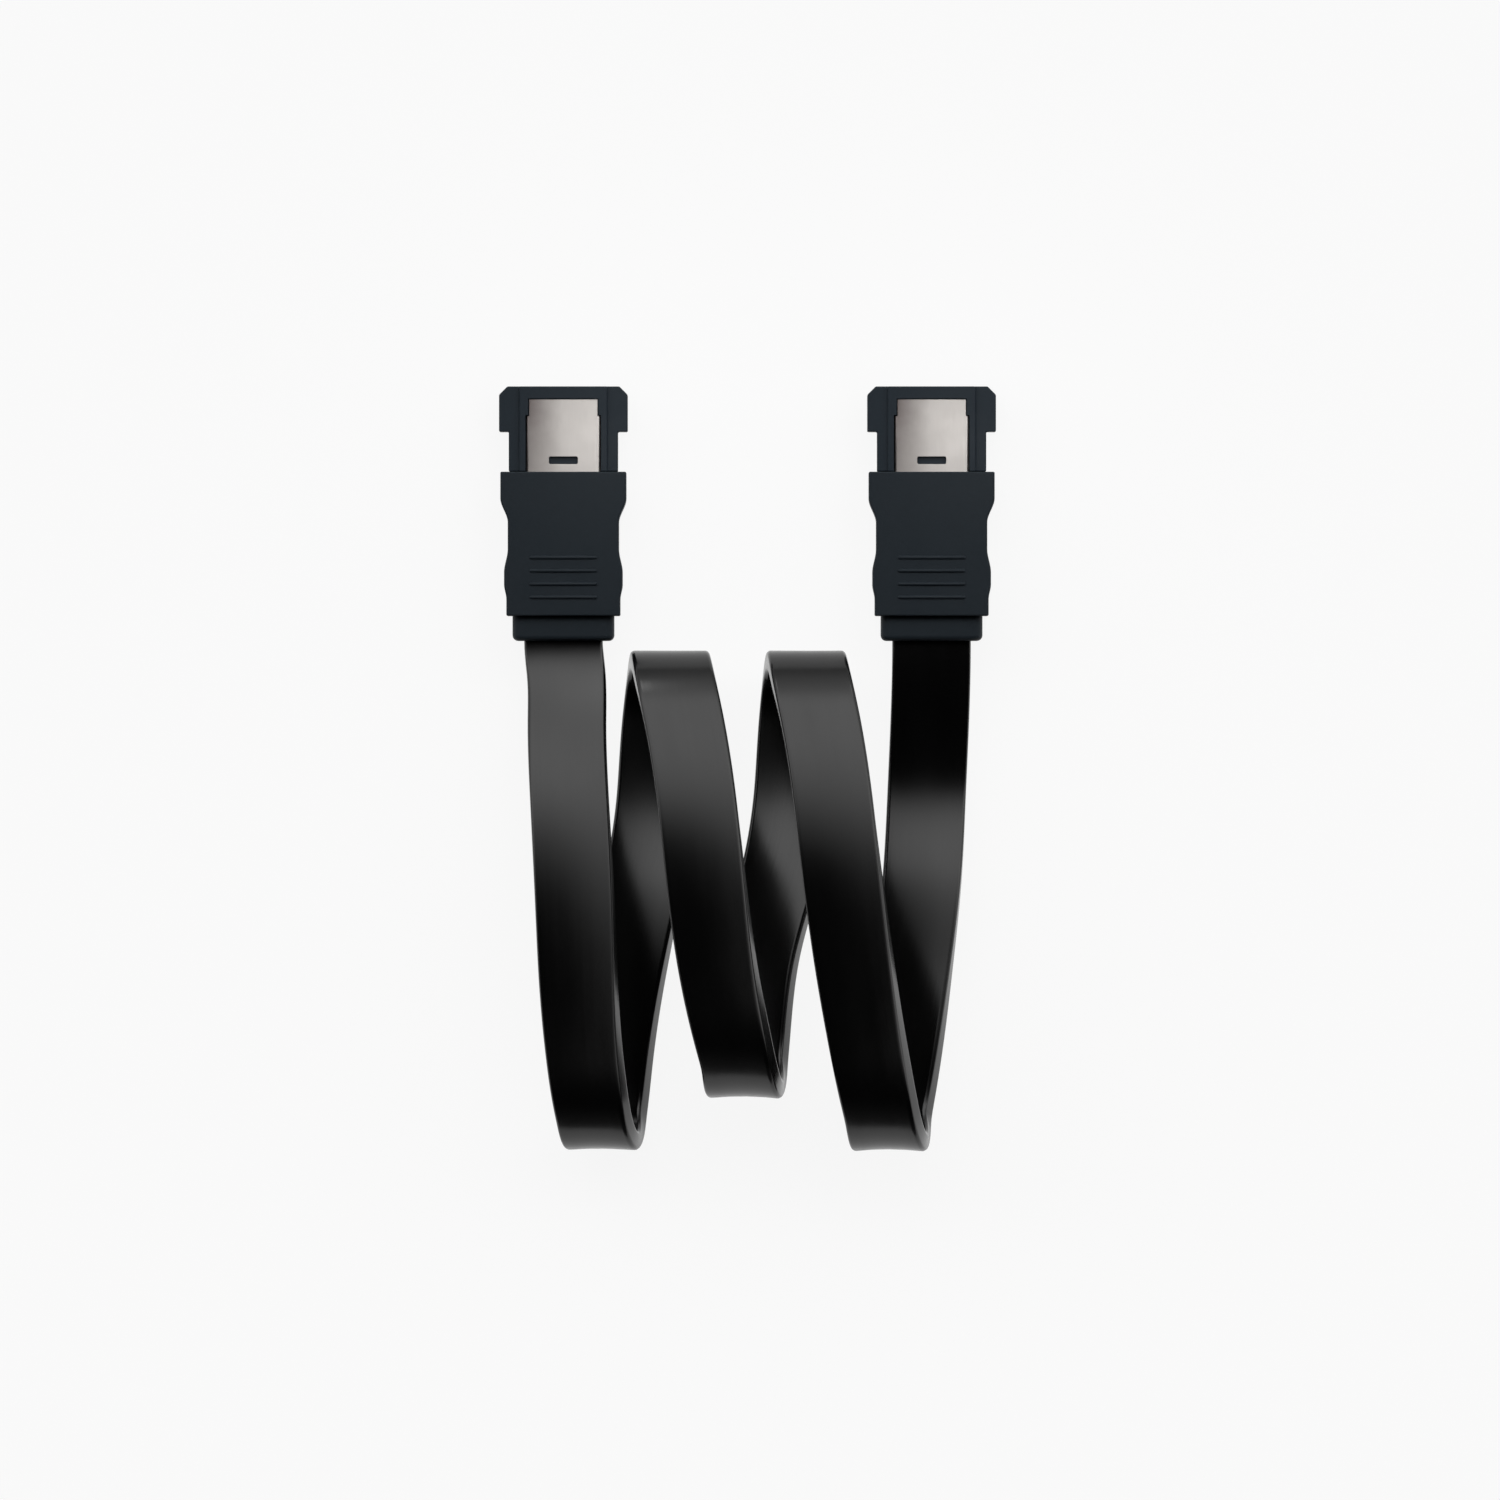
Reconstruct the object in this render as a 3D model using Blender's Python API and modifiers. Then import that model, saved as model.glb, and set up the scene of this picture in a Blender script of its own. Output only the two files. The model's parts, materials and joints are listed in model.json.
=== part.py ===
"""A flat data cable with the same flanged plug on both ends, lying in loose zigzag loops.

Lengths are metres and +Z is up. Both plugs lie on the ground with their windows up and their
mating ends towards +Y. The origin is on the ground, under the middle of the two plugs.
A plug is modelled once, in its own frame, and built for each side on an empty that places it.
"""

import math

import bmesh
import bpy
import numpy as np
from mathutils import Matrix, Vector

# Plug, overall
PLUG_SPACING = 0.0398
HEAD_LENGTH = 0.0092
GRIP_LENGTH = 0.0156
COLLAR_LENGTH = 0.0027

# Housing: a raised body between two thinner wings, which end in the flange
BODY_WIDTH = 0.0095
BODY_THICKNESS = 0.0052
WING_THICKNESS = 0.0044
FLANGE_WIDTH = 0.0139
FLANGE_LENGTH = 0.0049
FLANGE_CHAMFER = 0.0009
NECK_WIDTH = 0.0118
HOUSING_EDGE = 0.00012
TONGUE_WIDTH = 0.0091
TONGUE_THICKNESS = 0.0032
TONGUE_LENGTH = 0.0028

# Mating slot, open at the tip of the housing
SLOT_WIDTH = 0.0102
SLOT_HEIGHT = 0.0015
SLOT_DEPTH = 0.0056
SLOT_ROOF = 0.0006
SLOT_LEAD_IN = 0.0004

# Steel latch plate and the window that it lies in
FRONT_BAR_LENGTH = 0.0013
PLATE_WIDTH = 0.0080
PLATE_NOSE_WIDTH = 0.0074
PLATE_NOSE_LENGTH = 0.0018
PLATE_THICKNESS = 0.0003
PLATE_DEPTH = 0.0002
PLATE_FOLD = 0.0006
PLATE_TAIL = 0.0010
PLATE_EDGE = 0.0001
CATCH_SLOT_WIDTH = 0.0031
CATCH_SLOT_LENGTH = 0.0008
CATCH_SLOT_INSET = 0.0008

# Contacts: seven spring fingers, the first, fourth and last of them grounds
CONTACT_COUNT = 7
CONTACT_PITCH = 0.00127
CONTACT_WIDTH = 0.0008
CONTACT_THICKNESS = 0.0002
CONTACT_RISE = 0.0005
GROUND_REACH = 0.0012
SIGNAL_REACH = 0.0017
CONTACT_BUMP = 0.0009
CONTACT_TAIL = 0.0030
GROUND_CONTACTS = (1, 4, 7)

# Wires between the jacket and the contacts
WIRE_DIAMETER = 0.0004
CORE_DIAMETER = 0.0009
JACKET_INSERTION = 0.0046

# Grip, moulded over the back of the housing, and its collar
GRIP_THICKNESS = 0.0066
SHOULDER_INSET = 0.00015
SHOULDER_LENGTH = 0.0029
WAIST_WIDTH = 0.0120
WAIST_START = 0.0055
WAIST_END = 0.0084
BULGE_WIDTH = 0.0128
BULGE_START = 0.0109
BULGE_END = 0.0122
TAIL_WIDTH = 0.0123
TAIL_START = 0.0138
GRIP_EDGE = 0.0008
GRIP_CORNER = 0.0003
COLLAR_WIDTH = 0.0110
COLLAR_THICKNESS = 0.0050
COLLAR_EDGE = 0.0010
COLLAR_END_EDGE = 0.0006
MOULD_FRONT_GAP = 0.0003
MOULD_WIDTH = 0.0092

# Finger ribs across the top of the grip
RIB_COUNT = 4
RIB_START = 0.0093
RIB_PITCH = 0.00143
RIB_SPAN = 0.0074
RIB_LENGTH = 0.00045
RIB_HEIGHT = 0.0002
RIB_ROOT = 0.0001

# Clearances
TOUCH_GAP = 0.0003
SEAM_GAP = 0.0001
FIT_GAP = 0.0001
WIRE_GAP = 0.00005
CUT_MARGIN = 0.0005

# Cable jacket
JACKET_WIDTH = 0.0085
JACKET_THICKNESS = 0.0022
JACKET_EDGE = 0.0004
JACKET_STEP = 0.012
JACKET_BEND = math.radians(19)

# The cable's route between the two collars: x, y and z of its middle in metres, and in degrees
# how far its right edge is lifted where it leans into a turn
ROUTE = [
    (-0.0196, -0.0174, 0.00395, 0),
    (-0.0195, -0.0229, 0.0059, 0),
    (-0.0192, -0.0310, 0.0085, 1),
    (-0.0186, -0.0423, 0.0105, 8),
    (-0.0175, -0.0591, 0.0113, 25),
    (-0.0163, -0.0663, 0.01, 28),
    (-0.0157, -0.0675, 0.0072, 28),
    (-0.0152, -0.0663, 0.0044, 28),
    (-0.0144, -0.0593, 0.0033, 26),
    (-0.0129, -0.0488, 0.0044, 20),
    (-0.0113, -0.0402, 0.004, 11),
    (-0.0100, -0.0319, 0.0022, 3),
    (-0.0094, -0.0234, 0.00155, 0),
    (-0.0087, -0.0173, 0.00275, 0),
    (-0.0084, -0.0159, 0.0059, 0),
    (-0.0080, -0.0172, 0.0091, 0),
    (-0.0069, -0.0221, 0.0117, 0),
    (-0.0050, -0.0348, 0.0148, 2),
    (-0.0025, -0.0526, 0.0156, 22),
    (-0.0007, -0.0605, 0.0141, 28),
    (-0.0003, -0.0618, 0.0109, 28),
    (0.0001, -0.0605, 0.0077, 28),
    (0.0006, -0.0548, 0.0063, 26),
    (0.0015, -0.0472, 0.0058, 20),
    (0.0036, -0.0388, 0.0045, 11),
    (0.0049, -0.0310, 0.0024, 3),
    (0.0054, -0.0234, 0.00155, 0),
    (0.0060, -0.0173, 0.00275, 0),
    (0.0063, -0.0159, 0.0059, 0),
    (0.0067, -0.0172, 0.0091, 0),
    (0.0078, -0.0221, 0.0117, 0),
    (0.0099, -0.0366, 0.015, 3),
    (0.0130, -0.0575, 0.0156, 24),
    (0.0148, -0.0662, 0.0141, 28),
    (0.0153, -0.0675, 0.0109, 28),
    (0.0156, -0.0662, 0.0077, 28),
    (0.0166, -0.0596, 0.0062, 24),
    (0.0179, -0.0488, 0.0055, 12),
    (0.0189, -0.0391, 0.0042, 3),
    (0.0194, -0.0299, 0.0021, 0),
]

# Finishes: base colour, roughness and metallic value
FINISHES = {
    "housing_plastic": ((0.018, 0.023, 0.030, 1), 0.45, 0.0),
    "grip_plastic": ((0.016, 0.021, 0.027, 1), 0.55, 0.0),
    "latch_steel": ((0.62, 0.58, 0.55, 1), 0.32, 1.0),
    "contact_gold": ((0.83, 0.62, 0.27, 1), 0.25, 1.0),
    "core_insulation": ((0.75, 0.76, 0.74, 1), 0.45, 0.0),
    "tinned_copper": ((0.72, 0.70, 0.66, 1), 0.30, 1.0),
    "inner_mould": ((0.68, 0.67, 0.62, 1), 0.50, 0.0),
    "jacket_vinyl": ((0.010, 0.010, 0.011, 1), 0.38, 0.0),
}

# Worked out from the values above, in the plug's own frame: its tip is at +Y, its middle at z 0
PLUG_LENGTH = HEAD_LENGTH + GRIP_LENGTH + COLLAR_LENGTH
BODY_TOP = BODY_THICKNESS / 2
PLATE_TOP = BODY_TOP - PLATE_DEPTH
PLATE_STEP = FRONT_BAR_LENGTH + FIT_GAP + PLATE_NOSE_LENGTH
WINDOW_FLOOR = PLATE_TOP - PLATE_THICKNESS - FIT_GAP
SLOT_TOP = WINDOW_FLOOR - SLOT_ROOF
SLOT_FLOOR = SLOT_TOP - SLOT_HEIGHT
STEM_Z = -(CONTACT_THICKNESS / 2 + WIRE_GAP + WIRE_DIAMETER / 2)
STEM_START = SLOT_DEPTH - FIT_GAP
CHANNEL_WIDTH = CONTACT_WIDTH + 2 * FIT_GAP
CHANNEL_FLOOR = STEM_Z - CONTACT_THICKNESS / 2 - 2 * FIT_GAP
TONGUE_END = HEAD_LENGTH + TONGUE_LENGTH
TAIL_END = TONGUE_END + CONTACT_TAIL
JACKET_END = PLUG_LENGTH - COLLAR_LENGTH - JACKET_INSERTION
CORE_START = JACKET_END - TOUCH_GAP
POCKET_TOP = PLATE_TOP + FIT_GAP
POCKET_END = CORE_START - TOUCH_GAP
PLUG_HEIGHT = GRIP_THICKNESS / 2
SHOULDER_WIDTH = FLANGE_WIDTH - 2 * SHOULDER_INSET


def along(distance):
    """The plug's y at this distance behind its tip."""
    return PLUG_LENGTH / 2 - distance


def contact_x(number):
    """Where contact 1 to 7 lies across the plug."""
    return (number - (CONTACT_COUNT + 1) / 2) * CONTACT_PITCH


def clear_scene():
    for obj in list(bpy.data.objects):
        bpy.data.objects.remove(obj, do_unlink=True)


def new_collection(name):
    collection = bpy.data.collections.new(name)
    bpy.context.scene.collection.children.link(collection)
    return collection


def make_finishes():
    for name, (color, roughness, metallic) in FINISHES.items():
        finish = bpy.data.materials.new(name)
        finish.use_nodes = True
        shader = finish.node_tree.nodes["Principled BSDF"]
        shader.inputs["Base Color"].default_value = color
        shader.inputs["Roughness"].default_value = roughness
        shader.inputs["Metallic"].default_value = metallic


def add_object(name, mesh, parent, finish=None):
    """Puts a mesh in the scene, as a part if it has a finish and as a cutter if not."""
    obj = bpy.data.objects.new(name, mesh)
    obj.parent = parent
    if finish is None:
        obj.hide_render = True
        obj.display_type = "WIRE"
        CUTTERS.objects.link(obj)
    else:
        mesh.materials.append(bpy.data.materials[finish])
        PARTS.objects.link(obj)
    return obj


def boxes_mesh(name, boxes):
    """One mesh of separate boxes, each given by its lowest and highest corner."""
    bm = bmesh.new()
    for low, high in boxes:
        low, high = Vector(low), Vector(high)
        place = Matrix.Translation((low + high) / 2) @ Matrix.Diagonal((*(high - low), 1))
        bmesh.ops.create_cube(bm, size=1, matrix=place)
    mesh = bpy.data.meshes.new(name)
    bm.to_mesh(mesh)
    bm.free()
    return mesh


def plan_box(half_width, front, back, z_low, z_high):
    """The corners of a box across the plug, between two distances behind its tip."""
    return ((-half_width, along(back), z_low), (half_width, along(front), z_high))


def prism_mesh(name, outline, low, high, plane="plan"):
    """A flat outline thickened from low to high across its plane.

    A plan outline gives x and y, a profile gives y and z, and a section gives x and z.
    """
    curve = bpy.data.curves.new(name, "CURVE")
    curve.dimensions = "2D"
    curve.fill_mode = "BOTH"
    curve.extrude = (high - low) / 2
    spline = curve.splines.new("POLY")
    spline.points.add(len(outline) - 1)
    for point, (across, up) in zip(spline.points, outline):
        point.co = (across, up, 0, 1)
    spline.use_cyclic_u = True
    holder = bpy.data.objects.new(name, curve)
    bpy.context.scene.collection.objects.link(holder)
    graph = bpy.context.evaluated_depsgraph_get()
    mesh = bpy.data.meshes.new_from_object(holder.evaluated_get(graph))
    bpy.data.objects.remove(holder)
    turn = {
        "plan": Matrix.Identity(4),
        "profile": Matrix(((0, 0, 1, 0), (1, 0, 0, 0), (0, 1, 0, 0), (0, 0, 0, 1))),
        "section": Matrix.Rotation(math.pi / 2, 4, "X"),
    }[plane]
    middle = (low + high) / 2 * (-1 if plane == "section" else 1)
    bm = bmesh.new()
    bm.from_mesh(mesh)
    bmesh.ops.remove_doubles(bm, verts=bm.verts, dist=1e-6)
    bmesh.ops.transform(bm, verts=bm.verts, matrix=turn @ Matrix.Translation((0, 0, middle)))
    bmesh.ops.recalc_face_normals(bm, faces=bm.faces)
    bm.to_mesh(mesh)
    bm.free()
    mesh.materials.clear()
    return mesh


def both_sides(right_half):
    """A whole outline from its right half, listed from the front to the back."""
    return right_half + [(-x, y) for x, y in reversed(right_half)]


def boolean(target, other, operation):
    modifier = target.modifiers.new(other.name, "BOOLEAN")
    modifier.operation = operation
    modifier.object = other


def cut(target, name, mesh):
    """Takes a shape out of a part, and returns the cutter."""
    cutter = add_object(f"{target.name}_{name}", mesh, target.parent)
    boolean(target, cutter, "DIFFERENCE")
    return cutter


def repeat(cutter):
    """Repeats the cutter of contact 1 at the place of each contact."""
    modifier = cutter.modifiers.new("one_per_contact", "ARRAY")
    modifier.count = CONTACT_COUNT
    modifier.use_relative_offset = False
    modifier.use_constant_offset = True
    modifier.constant_offset_displace = (CONTACT_PITCH, 0, 0)


def bevel(target, width, segments, angle=50):
    modifier = target.modifiers.new("rounded_edges", "BEVEL")
    modifier.width = width
    modifier.segments = segments
    modifier.limit_method = "ANGLE"
    modifier.angle_limit = math.radians(angle)
    modifier.harden_normals = False


def shade(mesh, angle=35):
    mesh.shade_smooth()
    mesh.set_sharp_from_angle(angle=math.radians(angle))


def head_section():
    """The head from the front: a raised body between two thinner wings, wider than the flange."""
    body, wing, wide = BODY_WIDTH / 2, WING_THICKNESS / 2, FLANGE_WIDTH / 2 + CUT_MARGIN
    right_half = [(body, BODY_TOP), (body, wing), (wide, wing),
                  (wide, -wing), (body, -wing), (body, -BODY_TOP)]
    return both_sides(right_half)


def head_outline():
    """The plan of the flange and neck."""
    flange, neck = FLANGE_WIDTH / 2, NECK_WIDTH / 2
    return both_sides([
        (flange - FLANGE_CHAMFER, along(0)),
        (flange, along(FLANGE_CHAMFER)),
        (flange, along(FLANGE_LENGTH)),
        (neck, along(FLANGE_LENGTH)),
        (neck, along(HEAD_LENGTH)),
    ])


def plate_section(gap, top):
    """The latch plate across its wide part, grown by a gap: a flat with both edges folded down."""
    outer = PLATE_WIDTH / 2 + gap
    inner = PLATE_WIDTH / 2 - PLATE_THICKNESS - gap
    under = PLATE_TOP - PLATE_THICKNESS - gap
    fold = PLATE_TOP - PLATE_FOLD - gap
    return [(outer, top), (outer, fold), (inner, fold), (inner, under),
            (-inner, under), (-inner, fold), (-outer, fold), (-outer, top)]


def make_housing(side, plug):
    """The plastic head, with the window in its top and the mating slot in its tip."""
    name = side + "_housing"
    head = prism_mesh(name, head_section(), along(HEAD_LENGTH + CUT_MARGIN), along(-CUT_MARGIN), "section")
    housing = add_object(name, head, plug, "housing_plastic")
    plan = prism_mesh("plan", head_outline(), -BODY_THICKNESS, BODY_THICKNESS)
    boolean(housing, add_object(side + "_head_plan", plan, plug), "INTERSECT")
    bevel(housing, HOUSING_EDGE, 1)
    half = TONGUE_THICKNESS / 2
    tongue = boxes_mesh("tongue", [
        plan_box(TONGUE_WIDTH / 2, HEAD_LENGTH - CUT_MARGIN, TONGUE_END, -half, half)])
    boolean(housing, add_object(side + "_tongue_block", tongue, plug), "UNION")

    nose = plan_box(PLATE_NOSE_WIDTH / 2 + FIT_GAP, FRONT_BAR_LENGTH, PLATE_STEP + CUT_MARGIN,
                    WINDOW_FLOOR, BODY_TOP + CUT_MARGIN)
    cut(housing, "nose_window", boxes_mesh("nose_window", [nose]))
    wide = prism_mesh("wide_window", plate_section(FIT_GAP, BODY_TOP + CUT_MARGIN),
                      along(HEAD_LENGTH + CUT_MARGIN), along(PLATE_STEP - FIT_GAP), "section")
    cut(housing, "wide_window", wide)

    lead = plan_box(SLOT_WIDTH / 2 + SLOT_LEAD_IN, -CUT_MARGIN, SLOT_LEAD_IN,
                    SLOT_FLOOR - SLOT_LEAD_IN, SLOT_TOP + SLOT_LEAD_IN)
    bevel(cut(housing, "lead_in", boxes_mesh("lead_in", [lead])), SLOT_LEAD_IN * 1.2, 1)
    slot = plan_box(SLOT_WIDTH / 2, -CUT_MARGIN, SLOT_DEPTH, SLOT_FLOOR, SLOT_TOP)
    cut(housing, "mating_slot", boxes_mesh("mating_slot", [slot]))
    channel = prism_mesh("channel", channel_profile(), contact_x(1) - CHANNEL_WIDTH / 2,
                         contact_x(1) + CHANNEL_WIDTH / 2, "profile")
    repeat(cut(housing, "contact_channels", channel))
    shade(head)


def channel_profile():
    """A contact's room from the side: a trough under the slot, then a passage to the back."""
    trough_front = along(GROUND_REACH - 2 * FIT_GAP)
    slot_back = along(SLOT_DEPTH)
    passage_top = STEM_Z + CONTACT_THICKNESS / 2 + FIT_GAP
    inside_slot = SLOT_FLOOR + CUT_MARGIN
    return [(trough_front, inside_slot), (trough_front, CHANNEL_FLOOR),
            (along(TONGUE_END + CUT_MARGIN), CHANNEL_FLOOR), (along(TONGUE_END + CUT_MARGIN), passage_top),
            (slot_back, passage_top), (slot_back, inside_slot)]


def make_latch_plate(side, plug):
    """The steel leaf: a narrow flat nose, and edges folded down along its wide part."""
    name = side + "_latch_plate"
    back = along(HEAD_LENGTH + PLATE_TAIL)
    leaf = prism_mesh(name, plate_section(0, PLATE_TOP), back, along(PLATE_STEP), "section")
    plate = add_object(name, leaf, plug, "latch_steel")
    nose = plan_box(PLATE_NOSE_WIDTH / 2, FRONT_BAR_LENGTH + FIT_GAP, PLATE_STEP + CUT_MARGIN,
                    PLATE_TOP - PLATE_THICKNESS, PLATE_TOP)
    boolean(plate, add_object(side + "_plate_nose", boxes_mesh("plate_nose", [nose]), plug), "UNION")
    slot_back = HEAD_LENGTH - CATCH_SLOT_INSET
    slot = plan_box(CATCH_SLOT_WIDTH / 2, slot_back - CATCH_SLOT_LENGTH, slot_back,
                    PLATE_TOP - PLATE_THICKNESS - CUT_MARGIN, PLATE_TOP + CUT_MARGIN)
    cut(plate, "catch_slot", boxes_mesh("catch_slot", [slot]))
    bevel(plate, PLATE_EDGE, 1)
    shade(leaf)


def contact_profile(reach):
    """The side view of a contact: distance behind the tip and height, from its tip to its tail."""
    crest = SLOT_FLOOR + CONTACT_RISE - CONTACT_THICKNESS / 2
    return [
        (reach, SLOT_FLOOR - CONTACT_THICKNESS / 2),
        (reach + CONTACT_BUMP * 0.6, crest - CONTACT_RISE * 0.08),
        (reach + CONTACT_BUMP, crest),
        (reach + CONTACT_BUMP * 1.4, crest - CONTACT_RISE * 0.08),
        (STEM_START, STEM_Z),
        (TAIL_END, STEM_Z),
    ]


def make_contact(side, plug, number):
    """A strip bent to the contact's side view, then thickened."""
    reach = GROUND_REACH if number in GROUND_CONTACTS else SIGNAL_REACH
    name = f"{side}_contact_{number}"
    bm = bmesh.new()
    rows = []
    for distance, z in contact_profile(reach):
        edges = (contact_x(number) - CONTACT_WIDTH / 2, contact_x(number) + CONTACT_WIDTH / 2)
        rows.append([bm.verts.new((x, along(distance), z)) for x in edges])
    for front, back in zip(rows, rows[1:]):
        bm.faces.new((front[0], back[0], back[1], front[1]))
    mesh = bpy.data.meshes.new(name)
    bm.to_mesh(mesh)
    bm.free()
    contact = add_object(name, mesh, plug, "contact_gold")
    thicken(contact, CONTACT_THICKNESS)


def thicken(obj, thickness):
    """Gives an open surface its wall, half to each side."""
    modifier = obj.modifiers.new("thickness", "SOLIDIFY")
    modifier.thickness = thickness
    modifier.offset = 0
    modifier.use_even_offset = True


def round_bar(name, x, front, back, diameter, sides):
    """A straight round bar along the plug, between two distances behind its tip."""
    bm = bmesh.new()
    place = Matrix.Translation((x, along((front + back) / 2), 0)) @ Matrix.Rotation(math.pi / 2, 4, "X")
    bmesh.ops.create_cone(bm, cap_ends=True, segments=sides, radius1=diameter / 2,
                          radius2=diameter / 2, depth=back - front, matrix=place)
    mesh = bpy.data.meshes.new(name)
    bm.to_mesh(mesh)
    bm.free()
    shade(mesh, 50)
    return mesh


def make_wires(side, plug):
    """The insulated signal cores with their conductors, and the bare ground wires."""
    lap = TAIL_END - CONTACT_TAIL / 2
    core_front = TAIL_END + TOUCH_GAP
    signals = [n for n in range(1, CONTACT_COUNT + 1) if n not in GROUND_CONTACTS]
    for index, number in enumerate(signals, 1):
        x = contact_x(number)
        name = f"{side}_core_{index}"
        core = add_object(name, round_bar(name, x, core_front, CORE_START, CORE_DIAMETER, 14),
                          plug, "core_insulation")
        bore = round_bar("bore", x, core_front - CUT_MARGIN, CORE_START + CUT_MARGIN,
                         WIRE_DIAMETER + 2 * WIRE_GAP, 10)
        cut(core, "bore", bore)
        name = f"{side}_conductor_{index}"
        add_object(name, round_bar(name, x, lap, CORE_START, WIRE_DIAMETER, 10), plug, "tinned_copper")
    for index, number in enumerate(GROUND_CONTACTS, 1):
        name = f"{side}_ground_wire_{index}"
        wire = round_bar(name, contact_x(number), lap, CORE_START, WIRE_DIAMETER, 10)
        add_object(name, wire, plug, "tinned_copper")


def make_inner_mould(side, plug):
    """The block that locks tails and wires, with a passage for each of them."""
    front = TONGUE_END + MOULD_FRONT_GAP
    half = POCKET_TOP - FIT_GAP
    block = boxes_mesh(side + "_inner_mould", [plan_box(MOULD_WIDTH / 2, front, POCKET_END, -half, half)])
    mould = add_object(side + "_inner_mould", block, plug, "inner_mould")
    passage = boxes_mesh("passage", [(
        (contact_x(1) - CHANNEL_WIDTH / 2, along(POCKET_END + CUT_MARGIN), CHANNEL_FLOOR),
        (contact_x(1) + CHANNEL_WIDTH / 2, along(front - CUT_MARGIN), CORE_DIAMETER / 2 + WIRE_GAP))])
    repeat(cut(mould, "wire_passages", passage))


def grip_half_width(distance):
    """Half the grip's width at a distance behind its front: shoulder, waist, bulge and tail."""
    stations = [
        (SHOULDER_LENGTH, SHOULDER_WIDTH),
        (WAIST_START, WAIST_WIDTH),
        (WAIST_END, WAIST_WIDTH),
        (BULGE_START, BULGE_WIDTH),
        (BULGE_END, BULGE_WIDTH),
        (TAIL_START, TAIL_WIDTH),
    ]
    if distance <= stations[0][0]:
        return stations[0][1] / 2
    for (start, width), (end, next_width) in zip(stations, stations[1:]):
        if distance <= end:
            share = (distance - start) / (end - start)
            ease = share * share * (3 - 2 * share)
            return (width + (next_width - width) * ease) / 2
    return stations[-1][1] / 2


def grip_outline():
    """The plan of the grip, running on straight past both of its ends."""
    wall_steps = 30
    right_half = [(SHOULDER_WIDTH / 2, along(HEAD_LENGTH - CUT_MARGIN))]
    for i in range(wall_steps + 1):
        distance = SEAM_GAP + (GRIP_LENGTH - SEAM_GAP) * i / wall_steps
        right_half.append((grip_half_width(distance), along(HEAD_LENGTH + distance)))
    right_half.append((TAIL_WIDTH / 2, along(HEAD_LENGTH + GRIP_LENGTH + CUT_MARGIN)))
    return both_sides(right_half)


def make_grip(side, plug):
    """The overmould: waisted block and stepped collar, hollow for the housing, mould and jacket."""
    half = GRIP_THICKNESS / 2
    block = prism_mesh(side + "_grip", grip_outline(), -half, half)
    grip = add_object(side + "_grip", block, plug, "grip_plastic")
    bevel(grip, GRIP_EDGE, 3)
    grip_back = HEAD_LENGTH + GRIP_LENGTH
    ends = boxes_mesh("grip_ends", [
        plan_box(FLANGE_WIDTH, HEAD_LENGTH + SEAM_GAP, grip_back, -GRIP_THICKNESS, GRIP_THICKNESS)])
    boolean(grip, add_object(side + "_grip_ends", ends, plug), "INTERSECT")
    bevel(grip, GRIP_CORNER, 2, angle=60)

    collar_half = COLLAR_THICKNESS / 2
    collar = boxes_mesh("collar", [
        plan_box(COLLAR_WIDTH / 2, grip_back - GRIP_EDGE, PLUG_LENGTH, -collar_half, collar_half)])
    round_collar(collar)
    boolean(grip, add_object(side + "_collar_block", collar, plug), "UNION")
    boolean(grip, add_object(side + "_rib_bars", rib_mesh(), plug), "UNION")

    pocket = boxes_mesh("pocket", [
        plan_box(MOULD_WIDTH / 2 + FIT_GAP, HEAD_LENGTH - CUT_MARGIN, POCKET_END + FIT_GAP,
                 -POCKET_TOP, POCKET_TOP)])
    cut(grip, "pocket", pocket)
    channel_half = JACKET_THICKNESS / 2 + FIT_GAP
    channel = boxes_mesh("jacket_channel", [
        plan_box(JACKET_WIDTH / 2 + FIT_GAP, POCKET_END - CUT_MARGIN, PLUG_LENGTH + CUT_MARGIN,
                 -channel_half, channel_half)])
    cut(grip, "jacket_channel", channel)
    shade(block)


def round_collar(mesh):
    """Rounds the collar's four edges that run along the cable, then those round its rear face."""
    bm = bmesh.new()
    bm.from_mesh(mesh)
    edges = [e for e in bm.edges if abs((e.verts[0].co - e.verts[1].co).normalized().y) > 0.99]
    bmesh.ops.bevel(bm, geom=edges, offset=COLLAR_EDGE, segments=3, profile=0.5, affect="EDGES")
    rear = along(PLUG_LENGTH) + FIT_GAP
    edges = [e for e in bm.edges if all(vertex.co.y < rear for vertex in e.verts)]
    bmesh.ops.bevel(bm, geom=edges, offset=COLLAR_END_EDGE, segments=2, profile=0.5, affect="EDGES")
    bm.to_mesh(mesh)
    bm.free()


def rib_mesh():
    """The finger ribs: low round bars laid across the grip's top, with their roots sunk into it."""
    bm = bmesh.new()
    across = Matrix.Rotation(math.pi / 2, 4, "Y")
    for index in range(RIB_COUNT):
        y = along(HEAD_LENGTH + RIB_START + index * RIB_PITCH)
        z = GRIP_THICKNESS / 2 - RIB_ROOT
        round_section = Matrix.Diagonal((1, RIB_LENGTH / 2, RIB_HEIGHT + RIB_ROOT, 1))
        bmesh.ops.create_cone(bm, cap_ends=True, segments=12, radius1=1, radius2=1, depth=RIB_SPAN,
                              matrix=Matrix.Translation((0, y, z)) @ round_section @ across)
    mesh = bpy.data.meshes.new("ribs")
    bm.to_mesh(mesh)
    bm.free()
    return mesh


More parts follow.
